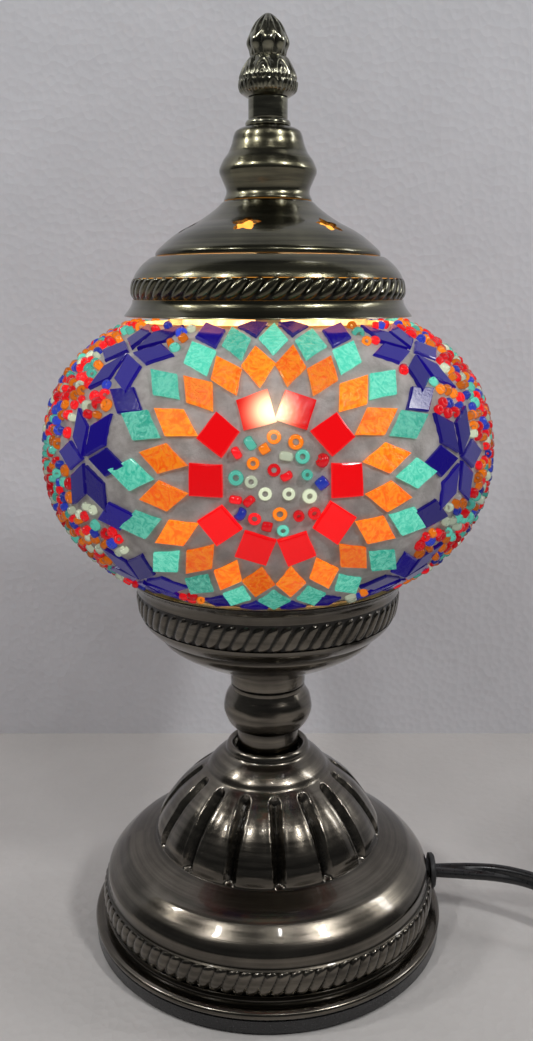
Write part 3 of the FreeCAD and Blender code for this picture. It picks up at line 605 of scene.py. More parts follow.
def base_pieces():
    shell = turned("base_shell_metal", (66.4, 5.8), [
        run([(67.2, 5.8)]),
        run([(68.4, 6.3), (68.9, 7.5), (68.4, 8.7), (67.2, 9.2)]),
        run([(63.4, 9.4), (63.4, 12.0), (64.4, 12.2)], relief=shade_step(8.8, 13.2, 0.9), straight=True),
        run([(65.0, 15.0), (65.1, 17.0), (65.0, 19.0), (64.4, 21.8)], 920,
            rope(92, 12.1, 22.2, 0.36, 1.0, 0.7)),
        run([(63.4, 22.5), (63.3, 26.3)], relief=shade_step(21.4, 23.6, 0.85), straight=True),
        run([(62.6, 27.6), (60.6, 30.2), (58.0, 32.8), (56.3, 34.4)]),
        run([(55.4, 35.0)]),
        run([(52.0, 36.7), (47.5, 38.4), (43.9, 39.8)], relief=shade_step(38.6, 41.6, 0.5)),
        run([(43.3, 43.4), (41.3, 47.6), (38.5, 52.0), (34.6, 57.0), (30.2, 61.2), (26.5, 64.4),
             (23.6, 66.8)], 600, dome_flutes),
        run([(22.0, 69.2), (19.4, 71.8), (16.3, 74.2)]),
        run([(15.9, 76.0), (14.6, 77.2), (13.2, 76.0)]),
        run([(13.2, 71.2), (5.0, 71.2), (5.0, 69.0), (16.0, 69.0), (19.5, 66.0), (30.5, 55.2), (37.2, 46.0),
             (39.6, 42.0), (40.8, 38.4), (46.8, 36.5), (54.6, 32.9), (61.5, 26.0), (61.8, 21.8), (62.6, 13.0),
             (62.4, 8.6), (66.4, 8.2), (66.4, 5.8)], 90, straight=True),
    ], [METAL])
    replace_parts(shell, "base_shell")

    ball = turned("stem_ball_metal", (5.0, 71.2), [
        run([(11.7, 71.2), (11.7, 83.4)], relief=shade_step(81.0, 85.4, 0.7), straight=True),
        run([(12.2, 84.2), (13.9, 84.6)]),
        run([(15.6, 87.0), (16.8, 90.2), (16.9, 93.0), (16.2, 96.0), (14.9, 98.4), (14.1, 99.8)], 180,
            hammered),
        run([(14.1, 101.4), (5.0, 101.4), (5.0, 100.0), (12.4, 100.0), (15.2, 95.4), (15.4, 90.4),
             (12.8, 86.0), (10.4, 84.6), (10.4, 72.6), (5.0, 72.6), (5.0, 71.2)], 72, straight=True),
    ], [METAL], step=0.35)
    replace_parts(ball, "stem_ball")

    cup = turned("lower_cup_metal", (5.0, 101.6), [
        run([(14.2, 101.6), (14.4, 107.4)], straight=True),
        run([(17.4, 108.2), (24.5, 112.0), (32.5, 116.2), (38.6, 120.2), (41.3, 123.4)]),
        run([(40.9, 124.2)], relief=shade_step(122.6, 125.4, 0.8)),
        run([(43.4, 125.4), (46.2, 128.2), (47.4, 130.4)]),
        run([(48.2, 133.4), (48.6, 136.4), (48.9, 140.6)], 792,
            rope(66, 130.7, 139.6, 0.5, 0.75, 0.35, 0.4)),
        run([(49.5, 143.2), (51.0, 145.2), (52.6, 146.4)]),
        run([(52.4, 146.9), (51.9, 147.0)]),
        run([(50.2, 145.8), (48.6, 143.8), (47.9, 141.0)]),
        run([(47.2, 135.4), (46.0, 131.8), (44.6, 129.0), (42.0, 126.6), (39.4, 124.8), (37.2, 121.2),
             (31.4, 117.4), (23.4, 113.2), (16.4, 109.6), (13.2, 108.4), (13.2, 102.7), (5.0, 102.7),
             (5.0, 101.6)], 90, straight=True),
    ], [METAL])
    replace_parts(cup, "lower_cup")


def hammered(theta, r, z):
    """The cast ball's slight unevenness."""
    waves = np.sin(theta * 9 + z * 0.8) * np.sin(theta * 5 - z * 0.5)
    return 0.07 * waves, 0 * z


def star_cutter():
    """Irregular five-pointed prisms, square to the cap's dome."""
    vertices, faces = [], []
    for k in range(STAR_HOLES):
        turn = Matrix.Rotation(math.radians(45.0 + 360.0 / STAR_HOLES * k), 4, "Z")
        place = turn @ Matrix.Translation((0, -28.2, 268.6)) @ Matrix.Rotation(math.radians(29.0), 4, "X")
        outline = []
        for i in range(STAR_OUTLINE):
            turn = TURN * i / STAR_OUTLINE
            reach = 4.0 + 1.1 * math.cos(5 * turn) + RANDOM.uniform(-0.22, 0.22)
            outline.append((-reach * math.sin(turn), reach * math.cos(turn)))
        faces.extend(end_faces(2, STAR_OUTLINE, len(vertices)))
        faces.extend(ring_faces(2, STAR_OUTLINE, len(vertices)))
        for height in (-5.0, 5.0):
            vertices.extend([tuple(place @ Vector((x, y, height))) for x, y in outline])
    return make_piece("star_cutter", vertices, faces, [CAP_METAL], smooth=False)


def weld(piece):
    """Joins the rows that two runs share, so that the piece is closed."""
    modifier = piece.modifiers.new("weld", "WELD")
    modifier.merge_threshold = 0.02 * MM
    piece.data = evaluated_mesh(piece)
    piece.modifiers.clear()


def cut(piece, cutter):
    """Takes the cutter out of the piece, and removes the cutter."""
    modifier = piece.modifiers.new("cut", "BOOLEAN")
    modifier.object = cutter
    modifier.operation = "DIFFERENCE"
    modifier.solver = "EXACT"
    shaped = evaluated_mesh(piece)
    piece.modifiers.clear()
    piece.data = shaped
    bpy.data.objects.remove(cutter)
    shaped.set_sharp_from_angle(angle=math.radians(SHARP_EDGE))


def cap_pieces():
    skirt = turned("cap_skirt_metal", (49.8, 238.9), [
        run([(50.6, 238.9)]),
        run([(48.6, 241.4), (47.4, 243.5), (47.3, 244.6)]),
        run([(47.4, 245.6), (47.6, 248.0), (46.9, 251.6)], 840,
            rope(60, 244.9, 251.9, 0.75, 1.0, 0.55, 0.44)),
        run([(45.9, 253.6), (43.6, 256.4), (40.6, 258.8)]),
        run([(39.6, 258.9)], relief=shade_step(257.6, 260.2, 0.8)),
        run([(38.0, 257.7), (40.0, 257.0), (43.0, 254.4), (45.0, 251.0), (45.6, 248.0), (45.6, 245.4),
             (45.9, 243.4), (47.7, 240.9), (49.8, 238.9)], 120, finish=1, straight=True),
    ], [CAP_METAL, CAP_INSIDE], "cap")
    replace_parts(skirt, "cap_shell")

    dome = turned("cap_dome_metal", (38.4, 258.8), [
        run([(39.2, 258.8), (39.0, 260.7)], relief=shade_step(257.6, 260.4, 0.8), straight=True),
        run([(33.1, 265.7), (28.2, 268.6), (23.8, 270.9), (18.1, 274.9), (15.4, 277.6)]),
        run([(14.4, 276.8), (17.4, 273.8), (23.2, 269.8), (27.6, 267.6), (32.4, 264.6), (37.9, 260.2),
             (38.4, 258.8)], finish=1),
    ], [CAP_METAL, CAP_INSIDE], "cap", step=0.7)
    weld(dome)
    cut(dome, star_cutter())
    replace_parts(dome, "cap_shell")

    crown = turned("cap_crown_metal", (14.4, 276.9), [
        run([(15.4, 277.6)]),
        run([(14.3, 280.7), (15.9, 284.8), (16.75, 287.4), (15.4, 290.8)]),
        run([(13.6, 293.1)]),
        run([(12.4, 296.0), (11.8, 298.4), (11.2, 300.0)]),
        run([(9.6, 301.0), (3.0, 301.0), (3.0, 299.8), (10.0, 299.8), (12.2, 292.6), (14.8, 289.6),
             (15.3, 287.4), (14.4, 285.0), (13.0, 280.8), (14.4, 276.9)], 90, straight=True),
    ], [CAP_METAL], "cap", step=0.35)
    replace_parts(crown, "cap_shell")


def leaves(count, foot, reach, ridges, height, first):
    """Overlapping rounded leaves with ridges that echo their edges, and painted shade between the ridges and
    where the surface dips.
    """
    def relief(theta, r, z):
        pitch = TURN / count
        push, dark = -0.2 + 0 * z, 0 * z
        for row, shift in ((0, 0.0), (1, 0.5)):
            offset = wrapped(theta - math.radians(first) - shift * pitch, pitch) / (pitch / 2)
            up = (z - foot - row * reach * 0.45) / reach
            inside = 1 - np.sqrt((offset * 0.92) ** 2 + np.clip(up, 0, None) ** 2)
            blade = np.clip(inside * 5, 0, 1) * np.clip(1 + up * 6, 0, 1)
            combed = 0.5 + 0.5 * np.cos(inside * TURN * ridges)
            rise = height * (0.55 * blade + 0.45 * blade * combed)
            push = np.where(row * blade > 0.2, rise, np.maximum(push, rise))
            # painted shade between a leaf's ridges
            dark = np.where(blade > 0.15, (1 - combed) * 0.55 * blade, dark)
        # and painted shade where the surface dips in
        return push, np.clip(dark + np.clip(-push * 2, 0, 0.5), 0, 1)
    return relief


def bud_grooves(theta, r, z):
    """Eight knobs round the upper bud, and grooves up to its tip."""
    up = z - FINIAL_FOOT
    knob = np.exp(-((up - 26.2) / 1.9) ** 2)
    swell = np.abs(np.cos(theta * 4)) ** 0.8
    spire = np.clip((up - 28.5) / 2.0, 0, 1) * np.clip((35.4 - up) / 2.5, 0, 1)
    groove = np.abs(np.sin(theta * 6)) ** 0.6
    neck = np.clip((25.0 - up) / 2.5, 0, 1)
    fine = np.abs(np.cos(theta * 8)) ** 0.7
    push = knob * (1.0 * swell - 0.7) + spire * (0.75 * groove - 0.6) + neck * (0.45 * fine - 0.35)
    # the second value is painted shade between the knobs and in the grooves
    return push, knob * (1 - swell) * 0.9 + spire * (1 - groove) * 0.9 + neck * (1 - fine) * 0.6


def finial_pieces():
    foot = FINIAL_FOOT
    bore = 3.1
    outlines = (
        ("finial_foot_metal", "finial_foot", 0.3, (bore, foot), [
            run([(7.4, foot)]),
            run([(7.8, foot + 0.9), (7.4, foot + 2.0), (6.9, foot + 2.4)]),
            run([(bore, foot + 2.4)]),
            run([(bore, foot)], 48),
        ]),
        ("finial_tube_metal", "finial_tube", 0.3, (bore, foot + 2.4), [
            run([(6.7, foot + 2.4)]),
            run([(6.7, foot + 9.4)]),
            run([(bore, foot + 9.4)]),
            run([(bore, foot + 2.4)], 48),
        ]),
        ("finial_leaf_bud", "finial_lower_bud", 0.22, (0.0, foot + 9.5), [
            run([(7.1, foot + 9.5)]),
            run([(8.6, foot + 10.6), (9.4, foot + 12.6), (9.4, foot + 14.4), (8.7, foot + 17.0),
                 (7.4, foot + 19.6), (5.9, foot + 22.0)], 320, leaves(8, foot + 11.6, 8.2, 3.0, 0.62, 10.0)),
            run([(0.0, foot + 22.0)]),
        ]),
        ("finial_tip_bud", "finial_upper_bud", 0.22, (0.0, foot + 22.0), [
            run([(5.9, foot + 22.0)]),
            run([(6.3, foot + 24.0), (6.9, foot + 26.2), (6.4, foot + 28.6), (4.6, foot + 32.0),
                 (2.4, foot + 34.4), (1.1, foot + 35.4), (0.0, 337.0)], 288, bud_grooves),
        ]),
    )
    for name, node, step, start, runs in outlines:
        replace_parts(turned(name, start, runs, [FINIAL_METAL], "finial", step), node)


# ---- globe ----

def skin_profile(roundness):
    """Distance along the skin from the widest ring, with radius, height above it and slope there."""
    angle = np.linspace(1e-6, math.pi / 2 - 1e-6, 6000)
    r = SKIN_RADIUS * np.cos(angle) ** (2 / roundness)
    z = SKIN_HALF_HEIGHT * np.sin(angle) ** (2 / roundness)
    arc = length_along(np.stack([r, z], axis=1))
    tilt = np.arctan2(-np.gradient(r), np.gradient(z))
    return arc, r, z, tilt


SKIN = {1: skin_profile(UPPER_ROUNDNESS), -1: skin_profile(LOWER_ROUNDNESS)}


def skin(arc):
    """Radius, height and slope of the skin at a distance along it, up from the widest ring."""
    side = 1 if arc >= 0 else -1
    along, radii, heights, tilts = SKIN[side]
    r, z, tilt = (float(np.interp(abs(arc), along, values)) for values in (radii, heights, tilts))
    return r, GLOBE_CENTRE + side * z, side * tilt


def on_skin(azimuth, arc, spin=0.0):
    """The frame of a thing laid on the globe: its own -y points outward, and +z up the skin."""
    r, z, tilt = skin(arc)
    return (
        Matrix.Rotation(math.radians(azimuth), 4, "Z") @ Matrix.Translation((0, -r, z))
        @ Matrix.Rotation(-tilt, 4, "X") @ Matrix.Rotation(-math.radians(spin), 4, "Y")
    )


def sideways_radius(arc):
    """A medallion narrows less towards its top and foot than the globe itself does."""
    return 0.35 * skin(arc)[0] + 0.65 * SKIN_RADIUS


def skin_azimuth(face, sideways, arc):
    return face + math.degrees(sideways / sideways_radius(arc))


def rhombus():
    half_width = RHOMBUS_SIDE * 0.5
    half_length = RHOMBUS_SIDE * math.cos(math.radians(30))
    return [(0, -half_length), (half_width, 0), (0, half_length), (-half_width, 0)]


def square():
    half = SQUARE_SIDE / 2
    return [(-half, -half), (half, -half), (half, half), (-half, half)]


def medallion_ring(corners, count, across, tall, first, face, sway=0.0):
    """Places and shapes of one ring of tiles about a medallion's centre."""
    ring = []
    for k in range(count):
        degrees = first + 360.0 * k / count
        turn = math.radians(degrees + sway * math.sin(math.radians(degrees)))
        arc = MEDALLION_ARC + tall * math.cos(turn)
        ring.append((skin_azimuth(face, across * math.sin(turn), arc), arc, -math.degrees(turn), corners))
    return ring


def star(azimuth, arc):
    """Six petals about a point."""
    petals = []
    reach = RHOMBUS_SIDE * math.cos(math.radians(30)) + 1.4
    for k in range(6):
        turn = math.radians(60.0 * k + 30.0)
        upwards = arc + reach * math.cos(turn)
        around = azimuth + math.degrees(reach * math.sin(turn) / skin(upwards)[0])
        petals.append((around, upwards, -math.degrees(turn), rhombus()))
    return petals


def outside_point(place):
    return on_skin(place[0], place[1]).translation


def apart(places, others, distance):
    """The places that keep a distance from all the others."""
    taken = [outside_point(other) for other in others]
    return [p for p in places if all((outside_point(p) - t).length > distance for t in taken)]


class TileSet:
    """Hand-cut pieces of one glass, each with bevelled edges."""

    def __init__(self):
        self.vertices, self.faces, self.tints, self.outlines = [], [], [], []

    def lay(self, azimuth, arc, spin, corners):
        place = on_skin(azimuth + RANDOM.uniform(-0.25, 0.25), arc + RANDOM.uniform(-0.3, 0.3),
                        spin + RANDOM.uniform(-3.5, 3.5))
        lean = Matrix.Rotation(RANDOM.uniform(-0.03, 0.03), 4, "X")
        lean = lean @ Matrix.Rotation(RANDOM.uniform(-0.03, 0.03), 4, "Z")
        place = place @ lean
        wobble = (-TILE_WOBBLE, TILE_WOBBLE)
        shape = [(x + RANDOM.uniform(*wobble), y + RANDOM.uniform(*wobble)) for x, y in corners]
        shape = [self.between_rims(place, x, y) for x, y in shape]
        outline = self.cut_edge(shape)
        middle = Vector((sum(p[0] for p in shape) / 4, sum(p[1] for p in shape) / 4))
        top = [self.toward(p, middle) for p in outline]
        base, count = len(self.vertices), len(outline)
        shoulder = TILE_BEVEL * 0.7 - TILE_THICKNESS
        for ring, depth in ((outline, 0.3), (outline, shoulder), (top, -TILE_THICKNESS)):
            self.vertices.extend([tuple(place @ Vector((x, depth, y))) for x, y in ring])
        self.faces.extend(ring_faces(3, count, base))
        self.faces.extend(end_faces(3, count, base))
        self.tints.extend([RANDOM.random()] * (3 * count))
        self.outlines.append((place, shape))

    def between_rims(self, place, x, y):
        """A corner, drawn in until it clears the cup and the cap."""
        for _ in range(12):
            height = (place @ Vector((x, 0, y))).z
            if TILES_LOW < height < TILES_HIGH:
                break
            x, y = x * 0.9, y * 0.9
        return x, y

    def cut_edge(self, shape):
        """The outline with the small steps that a glass cutter leaves."""
        line = []
        for a, b in zip(shape, shape[1:] + shape[:1]):
            a, b = Vector(a), Vector(b)
            across = Vector((a.y - b.y, b.x - a.x)).normalized()
            line.append(tuple(a))
            for share in (0.33, 0.67):
                line.append(tuple(a.lerp(b, share) + across * RANDOM.uniform(-0.09, 0.09)))
        return line

    def toward(self, point, middle):
        """A point of the edge, drawn in by the bevel."""
        inward = middle - Vector(point)
        return tuple(Vector(point) + inward * min(0.5, TILE_BEVEL * 1.35 / max(inward.length, 1e-6)))

    def build(self, name, material, slot, node):
        marks = {"tint": self.tints}
        piece = make_piece(name, self.vertices, self.faces, [material], smooth=False, marks=marks)
        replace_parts(piece, node)


def bead_shape(wide, tall, power):
    """A seed bead of radius 1 with its hole along y. A low power squares its section."""
    around, section = 14, 8
    points = []
    for i in range(around):
        turn = TURN * i / around
        for j in range(section):
            angle = TURN * j / section
            c, s = math.cos(angle), math.sin(angle)
            reach = 0.66 + wide * math.copysign(abs(c) ** power, c)
            height = tall * math.copysign(abs(s) ** power, s)
            points.append((reach * math.cos(turn), height, reach * math.sin(turn)))
    return np.array(points)


BEAD_SHAPES = {"round": bead_shape(0.34, 0.62, 1.0), "tube": bead_shape(0.33, 0.95, 0.55)}
BEAD_FACES = np.array(ring_faces(14, 8, closed=True))


class BeadField:
    """Seed beads strewn as close together as they will lie, clear of the tiles."""

    def __init__(self, outlines):
        self.outlines = outlines
        self.tree = KDTree(len(outlines))
        for i, (place, _) in enumerate(outlines):
            self.tree.insert(place.translation, i)
        self.tree.balance()
        self.cells = {}
        self.heaps = {colour: ([], [], []) for colour in BEAD_COLOURS}

    def cell(self, point):
        return tuple(int(c // BEAD_CELL) for c in point)

    def clear_of_tiles(self, point, radius):
        for _, i, _ in self.tree.find_range(point, 12.0):
            place, shape = self.outlines[i]
            local = place.inverted() @ point
            flat = Vector((local.x, local.z))
            nearest = -1e9
            for a, b in zip(shape, shape[1:] + shape[:1]):
                a, b = Vector(a), Vector(b)
                edge = b - a
                if edge.length < 1e-6:
                    continue
                outward = Vector((edge.y, -edge.x)).normalized()
                nearest = max(nearest, (flat - a).dot(outward))
            if nearest < radius + 0.15:
                return False
        return True

    def clear_of_beads(self, point, radius, overlap):
        x, y, z = self.cell(point)
        for i, j, k in itertools.product((-1, 0, 1), repeat=3):
            for other, r in self.cells.get((x + i, y + j, z + k), ()):
                if (point - other).length < radius + r - overlap:
                    return False
        return True

    def lift(self, azimuth, size):
        """How far a bead may be raised from the skin before it stands out too far."""
        turn = math.radians(azimuth)
        sideways, frontways = max(abs(math.sin(turn)), 1e-6), max(abs(math.cos(turn)), 1e-6)
        reach = min(BEAD_REACH[0] / sideways, BEAD_REACH[1] / frontways, SKIN_RADIUS + 2.6)
        return min(1.0, reach - SKIN_RADIUS - size * 1.02)

    def drop(self, azimuth, arc, radius, overlap=0.55):
        """Lays a bead where there is room for it."""
        skin_place = on_skin(azimuth, arc)
        point = skin_place.translation
        if not TILES_LOW + radius < point.z < TILES_HIGH - radius:
            return
        if not self.clear_of_tiles(point, radius * 0.9) or not self.clear_of_beads(point, radius, overlap):
            return
        self.cells.setdefault(self.cell(point), []).append((point.copy(), radius))
        kind = "tube" if RANDOM.random() < 0.25 else "round"
        hole_outward = RANDOM.random() < 0.45
        place = on_skin(azimuth, arc, RANDOM.uniform(0, 180))
        if not hole_outward:
            place = place @ Matrix.Rotation(math.pi / 2 + RANDOM.uniform(-0.3, 0.3), 4, "X")
        size = radius * (0.82 if kind == "tube" else 1.0)
        outward = np.array(skin_place.to_3x3() @ Vector((0, -self.lift(azimuth, size), 0)))
        points = BEAD_SHAPES[kind] @ np.array(place.to_3x3()).T * size
        vertices, quads, tints = self.heaps[RANDOM.choices(BEAD_COLOURS, BEAD_SHARES)[0]]
        quads.extend((BEAD_FACES + len(tints)).tolist())
        vertices.append(points + np.array(point) + outward)
        tints.extend([RANDOM.random()] * len(points))

    def build(self):
        for colour, slot in zip(BEAD_COLOURS, BEAD_SLOTS):
            vertices, quads, tints = self.heaps[colour]
            piece = make_piece("beads_" + colour, np.concatenate(vertices), quads, [BEAD_GLASS[colour]],
                               marks={"tint": tints})
            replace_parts(piece, "seed_beads")


def in_disc(azimuth, arc):
    """1 inside a medallion's round middle, where the grout lies lower for its beads, and 0 outside."""
    nearest = min(abs(wrapped(azimuth - face, 360.0)) for face in MEDALLION_FACES)
    away = math.hypot(math.radians(nearest) * SKIN_RADIUS, arc - MEDALLION_ARC)
    return limited((17.5 - away) / 1.5)


def grout_piece():
    """Lumpy grout between the tiles, stopping short of the cup and the cap."""
    columns, rows = 420, 130
    low, high = -57.0, 60.5
    vertices = []
    for i in range(rows + 1):
        arc = low + (high - low) * i / rows
        r, z, tilt = skin(arc)
        edge = min(1.0, min(arc - low, high - arc) / 1.6)
        for j in range(columns):
            theta = TURN * j / columns
            lump = 0.12 * math.sin(theta * 37 + arc * 0.9) * math.sin(theta * 23 - arc * 0.7)
            lump += 0.07 * math.sin(theta * 71 - arc * 1.9)
            push = (0.25 + lump) * edge - 0.6 * in_disc(math.degrees(theta), arc)
            radius = r + push * math.cos(tilt)
            height = z + push * math.sin(tilt)
            vertices.append((radius * math.sin(theta), -radius * math.cos(theta), height))
    piece = make_piece("grout_skin", vertices, ring_faces(rows + 1, columns), [GROUT])
    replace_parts(piece, "grout_bed")


def lay_tiles(sets):
    """Lays the medallions and the stars between them, and gives the stars' centres."""
    star_centres = []
    for face in MEDALLION_FACES:
        turquoise = medallion_ring(rhombus(), 20, 45.0, 48.0, 0.0, face)
        stars = []
        for side in (-1, 1):
            centres = [(skin_azimuth(face, side * 65.0, MEDALLION_ARC), MEDALLION_ARC + 2.5)]
            centres += [(face + side * 46.0, 43.0), (face + side * 41.0, -38.0)]
            star_centres += centres
            for azimuth, arc in centres:
                stars += star(azimuth, arc)
        stars = apart([p for p in stars if -55.5 < p[1] < 58.5], turquoise, 6.6)
        blue = apart(medallion_ring(rhombus(), 20, 54.0, 57.5, 9.0, face, 5.0), stars, 7.0)
        for colour, places in (
            ("red", medallion_ring(square(), 10, 20.7, 22.0, 18.0, face)),
            ("orange", medallion_ring(rhombus(), 20, 34.5, 36.0, 9.0, face)),
            ("turquoise", turquoise), ("blue", blue), ("star", stars),
        ):
            for azimuth, arc, spin, corners in places:
                sets[colour].lay(azimuth, arc, spin, corners)
    return star_centres


def globe_pieces():
    sets = {colour: TileSet() for colour in ("red", "orange", "turquoise", "blue", "star")}
    star_centres = lay_tiles(sets)
    sets["red"].build("red_tiles", RED, "red_glass", "tiles_red")
    sets["orange"].build("orange_tiles", ORANGE, "orange_glass", "tiles_orange")
    sets["turquoise"].build("turquoise_tiles", TURQUOISE, "turquoise_glass", "tiles_turquoise")
    sets["blue"].build("blue_tiles", BLUE, "blue_glass", "tiles_blue")
    sets["star"].build("star_tiles", BLUE, "blue_glass", "star_petals")
    grout_piece()

    field = BeadField([outline for one in sets.values() for outline in one.outlines])
    for face in MEDALLION_FACES:
        for _ in range(500):
            turn, reach = RANDOM.uniform(0, TURN), 15.2 * math.sqrt(RANDOM.random())
            arc = MEDALLION_ARC + reach * math.cos(turn)
            azimuth = skin_azimuth(face, reach * math.sin(turn), arc)
            field.drop(azimuth, arc, RANDOM.uniform(1.9, 2.45), 0.1)
    for _ in range(60000):
        azimuth, arc = RANDOM.uniform(0, 360), RANDOM.uniform(-56.0, 60.0)
        if in_medallion(azimuth, arc) or near_star(azimuth, arc, star_centres):
            continue
        field.drop(azimuth, arc, RANDOM.uniform(1.6, 2.15))
    field.build()


def in_medallion(azimuth, arc):
    for face in MEDALLION_FACES:
        sideways = math.radians(wrapped(azimuth - face, 360.0)) * sideways_radius(arc)
        if (sideways / 55.5) ** 2 + ((arc - MEDALLION_ARC) / 58.5) ** 2 < 1:
            return True
    return False


def near_star(azimuth, arc, centres):
    """The grout inside a star's six petals holds few beads."""
    for centre_azimuth, centre_arc in centres:
        sideways = math.radians(wrapped(azimuth - centre_azimuth, 360.0)) * skin(arc)[0]
        if math.hypot(sideways, arc - centre_arc) < 12.0:
            return RANDOM.random() < 0.93
    return False


# ---- cord ----

def nurbs_points(name, points):
    """Points read from the route's smooth line."""
    curve = bpy.data.curves.new(name, "CURVE")
    curve.dimensions = "3D"
    spline = curve.splines.new("NURBS")
    spline.points.add(len(points) - 1)
    for control, point in zip(spline.points, points):
        control.co = (point[0] * MM, point[1] * MM, point[2] * MM, 1.0)
    spline.order_u = 3
    spline.use_endpoint_u = True
    spline.resolution_u = 8
    holder = add_object(name, curve)
    bpy.context.view_layer.update()
    read = np.array([v.co for v in evaluated_mesh(holder).vertices]) / MM
    bpy.data.objects.remove(holder)
    return read


def flat_section():
    """Outline of the flat cord: two round cores side by side."""
    middle = CORD_WIDTH / 2 - LOBE_RADIUS
    points = []
    for side in (1, -1):
        for k in range(11):
            angle = math.radians(-130 + 26.0 * k)
            across = middle + LOBE_RADIUS * math.cos(angle)
            points.append((side * across, side * LOBE_RADIUS * math.sin(angle)))
    return points


def frames_along(path):
    """Level sideways and upward directions at each point of a path."""
    forward = np.gradient(path, axis=0)
    forward /= np.linalg.norm(forward, axis=1)[:, None]
    sideways = np.cross(forward, np.array([0.0, 0.0, 1.0]))
    sideways /= np.linalg.norm(sideways, axis=1)[:, None]
    return sideways, np.cross(sideways, forward)


def swept(name, path, section_at, material):
    """A closed tube. section_at(i) gives (roll in radians, section points) at the path's point i."""
    sideways, upward = frames_along(path)
    vertices = []
    for i, point in enumerate(path):
        roll, section = section_at(i)
        across = math.cos(roll) * sideways[i] + math.sin(roll) * upward[i]
        through = -math.sin(roll) * sideways[i] + math.cos(roll) * upward[i]
        vertices.extend([point + x * across + y * through for x, y in section])
    faces = ring_faces(len(path), len(section)) + end_faces(len(path), len(section))
    return make_piece(name, vertices, faces, [material], sharp=60.0)


def coil_turns():
    """Two layers of turns on edge: in from the outside below, then back out on top."""
    turns = []
    for k in range(1, round((COIL_LOWER_TURNS + COIL_UPPER_TURNS) * COIL_POINTS)):
        done = k / COIL_POINTS
        angle = math.radians(20.0 + 360.0 * done)
        past = done - COIL_LOWER_TURNS
        radius = COIL_OUTSIDE - COIL_INWARD_PITCH * min(done, COIL_LOWER_TURNS)
        radius = COIL_WIDENING * (radius + COIL_OUTWARD_PITCH * max(past, 0.0))
        height = 3.5 + 6.8 * eased(limited((past + 0.15) / 0.3))
        x = COIL_CENTRE[0] + radius * math.cos(angle)
        y = COIL_CENTRE[1] + radius * math.sin(angle)
        turns.append((x, y, height))
    return turns


def relief_sleeve(name, path, first, last, start_radius, end_radius, ribs):
    """A tapered, ribbed strain relief along part of the cord."""
    along = length_along(path)
    inside = [i for i in range(len(path)) if first <= along[i] <= last]
    piece_path = path[inside]
    spent = along[inside] - first

    def section_at(i):
        share = spent[i] / max(spent[-1], 1e-6)
        radius = start_radius + (end_radius - start_radius) * share
        radius -= 0.35 * (math.cos(share * TURN * ribs) < -0.2) * (0.05 < share < 0.95)
        wide, tall = max(radius, 3.75), max(radius, 2.4)
        turns = [TURN * k / 20 for k in range(20)]
        return 0.0, [(wide * math.cos(turn), tall * math.sin(turn)) for turn in turns]

    return swept(name, piece_path, section_at, MOULDING)


def cord_pieces():
    lamp_run = [(67.4, 0, 19.5), (80, -2, 20.6), (94, -6.5, 22.4), (108, -12.5, 21.8), (120, -20, 16.5),
                (129, -28.6, 10.4), (136, -34, 8)]
    first = nurbs_points("lamp_route", lamp_run)
    section = flat_section()
    along = length_along(first)

    def first_section(i):
        twist = -math.radians(75.0) * math.sin(math.pi * min(1.0, along[i] / along[-1])) ** 1.2
        return twist, section

    lead = swept("cord_lamp_to_switch", first, first_section, CORD_SKIN)
    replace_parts(lead, "cord_to_switch")
    grommet_piece()
    inlet_sleeve = relief_sleeve("switch_in_sleeve", first, along[-1] - 20.0, along[-1] + 1.0, 3.9, 5.4, 4)

    heading = math.radians(SWITCH_HEADING)
    outlet = (
        SWITCH_INLET[0] + SWITCH_LENGTH * math.cos(heading),
        SWITCH_INLET[1] + SWITCH_LENGTH * math.sin(heading), 8,
    )
    coil_run = [outlet, (184.3, -67.8, 6.6), (199, -69, 5.4), (213, -62, 4.5), (221, -48.6, 3.9),
                (220.6, -32.4, 3.6), (217.4, -16, 3.7), (214.6, 1, 3.6), (213.4, 15, 3.5)]
    plug_run = [(155, 50, 12.6), (141.5, 43.5, 15.4), (133.4, 29, 16.4), (132.4, 10.5, 17.6),
                (145.1, -2.6, 20.4), (163.6, -2.6, 21.4)]
    second = nurbs_points("coil_route", coil_run + coil_turns() + plug_run)
    span = length_along(second)

    def second_section(i):
        rise = limited((span[i] - 20.0) / 70.0)
        fall = limited((span[-1] - 40.0 - span[i]) / 60.0)
        return math.pi / 2 * eased(min(rise, fall)), section

    flex = swept("cord_switch_to_plug", second, second_section, CORD_SKIN)
    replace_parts(flex, "cord_to_coil", "cord_coil", "cord_to_plug")
    sleeves = [
        relief_sleeve("plug_sleeve", second, span[-1] - 24.0, span[-1] + 1.0, 3.9, 5.6, 5),
        relief_sleeve("switch_out_sleeve", second, -1.0, 18.0, 5.4, 3.9, 4),
    ]
    tie = tie_piece()


def grommet_piece():
    """Soft rubber bush in the base wall, with a rounded flange and a short neck that grips the cord."""
    outline = [(2.2, 60.2), (6.2, 60.2), (6.4, 61.6), (4.7, 61.8), (4.7, 64.8), (6.9, 65.1), (7.0, 66.4),
               (6.3, 67.1), (4.6, 67.2), (4.3, 67.35), (2.2, 67.35)]
    count = 40
    vertices = []
    for radius, x in outline:
        for k in range(count):
            turn = TURN * k / count
            vertices.append((x, radius * math.cos(turn), 19.5 + radius * math.sin(turn)))
    faces = ring_faces(len(outline), count, closed=True)
    piece = make_piece("cord_bush", vertices, faces, [RUBBER], sharp=50.0)
    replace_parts(piece, "cord_grommet")


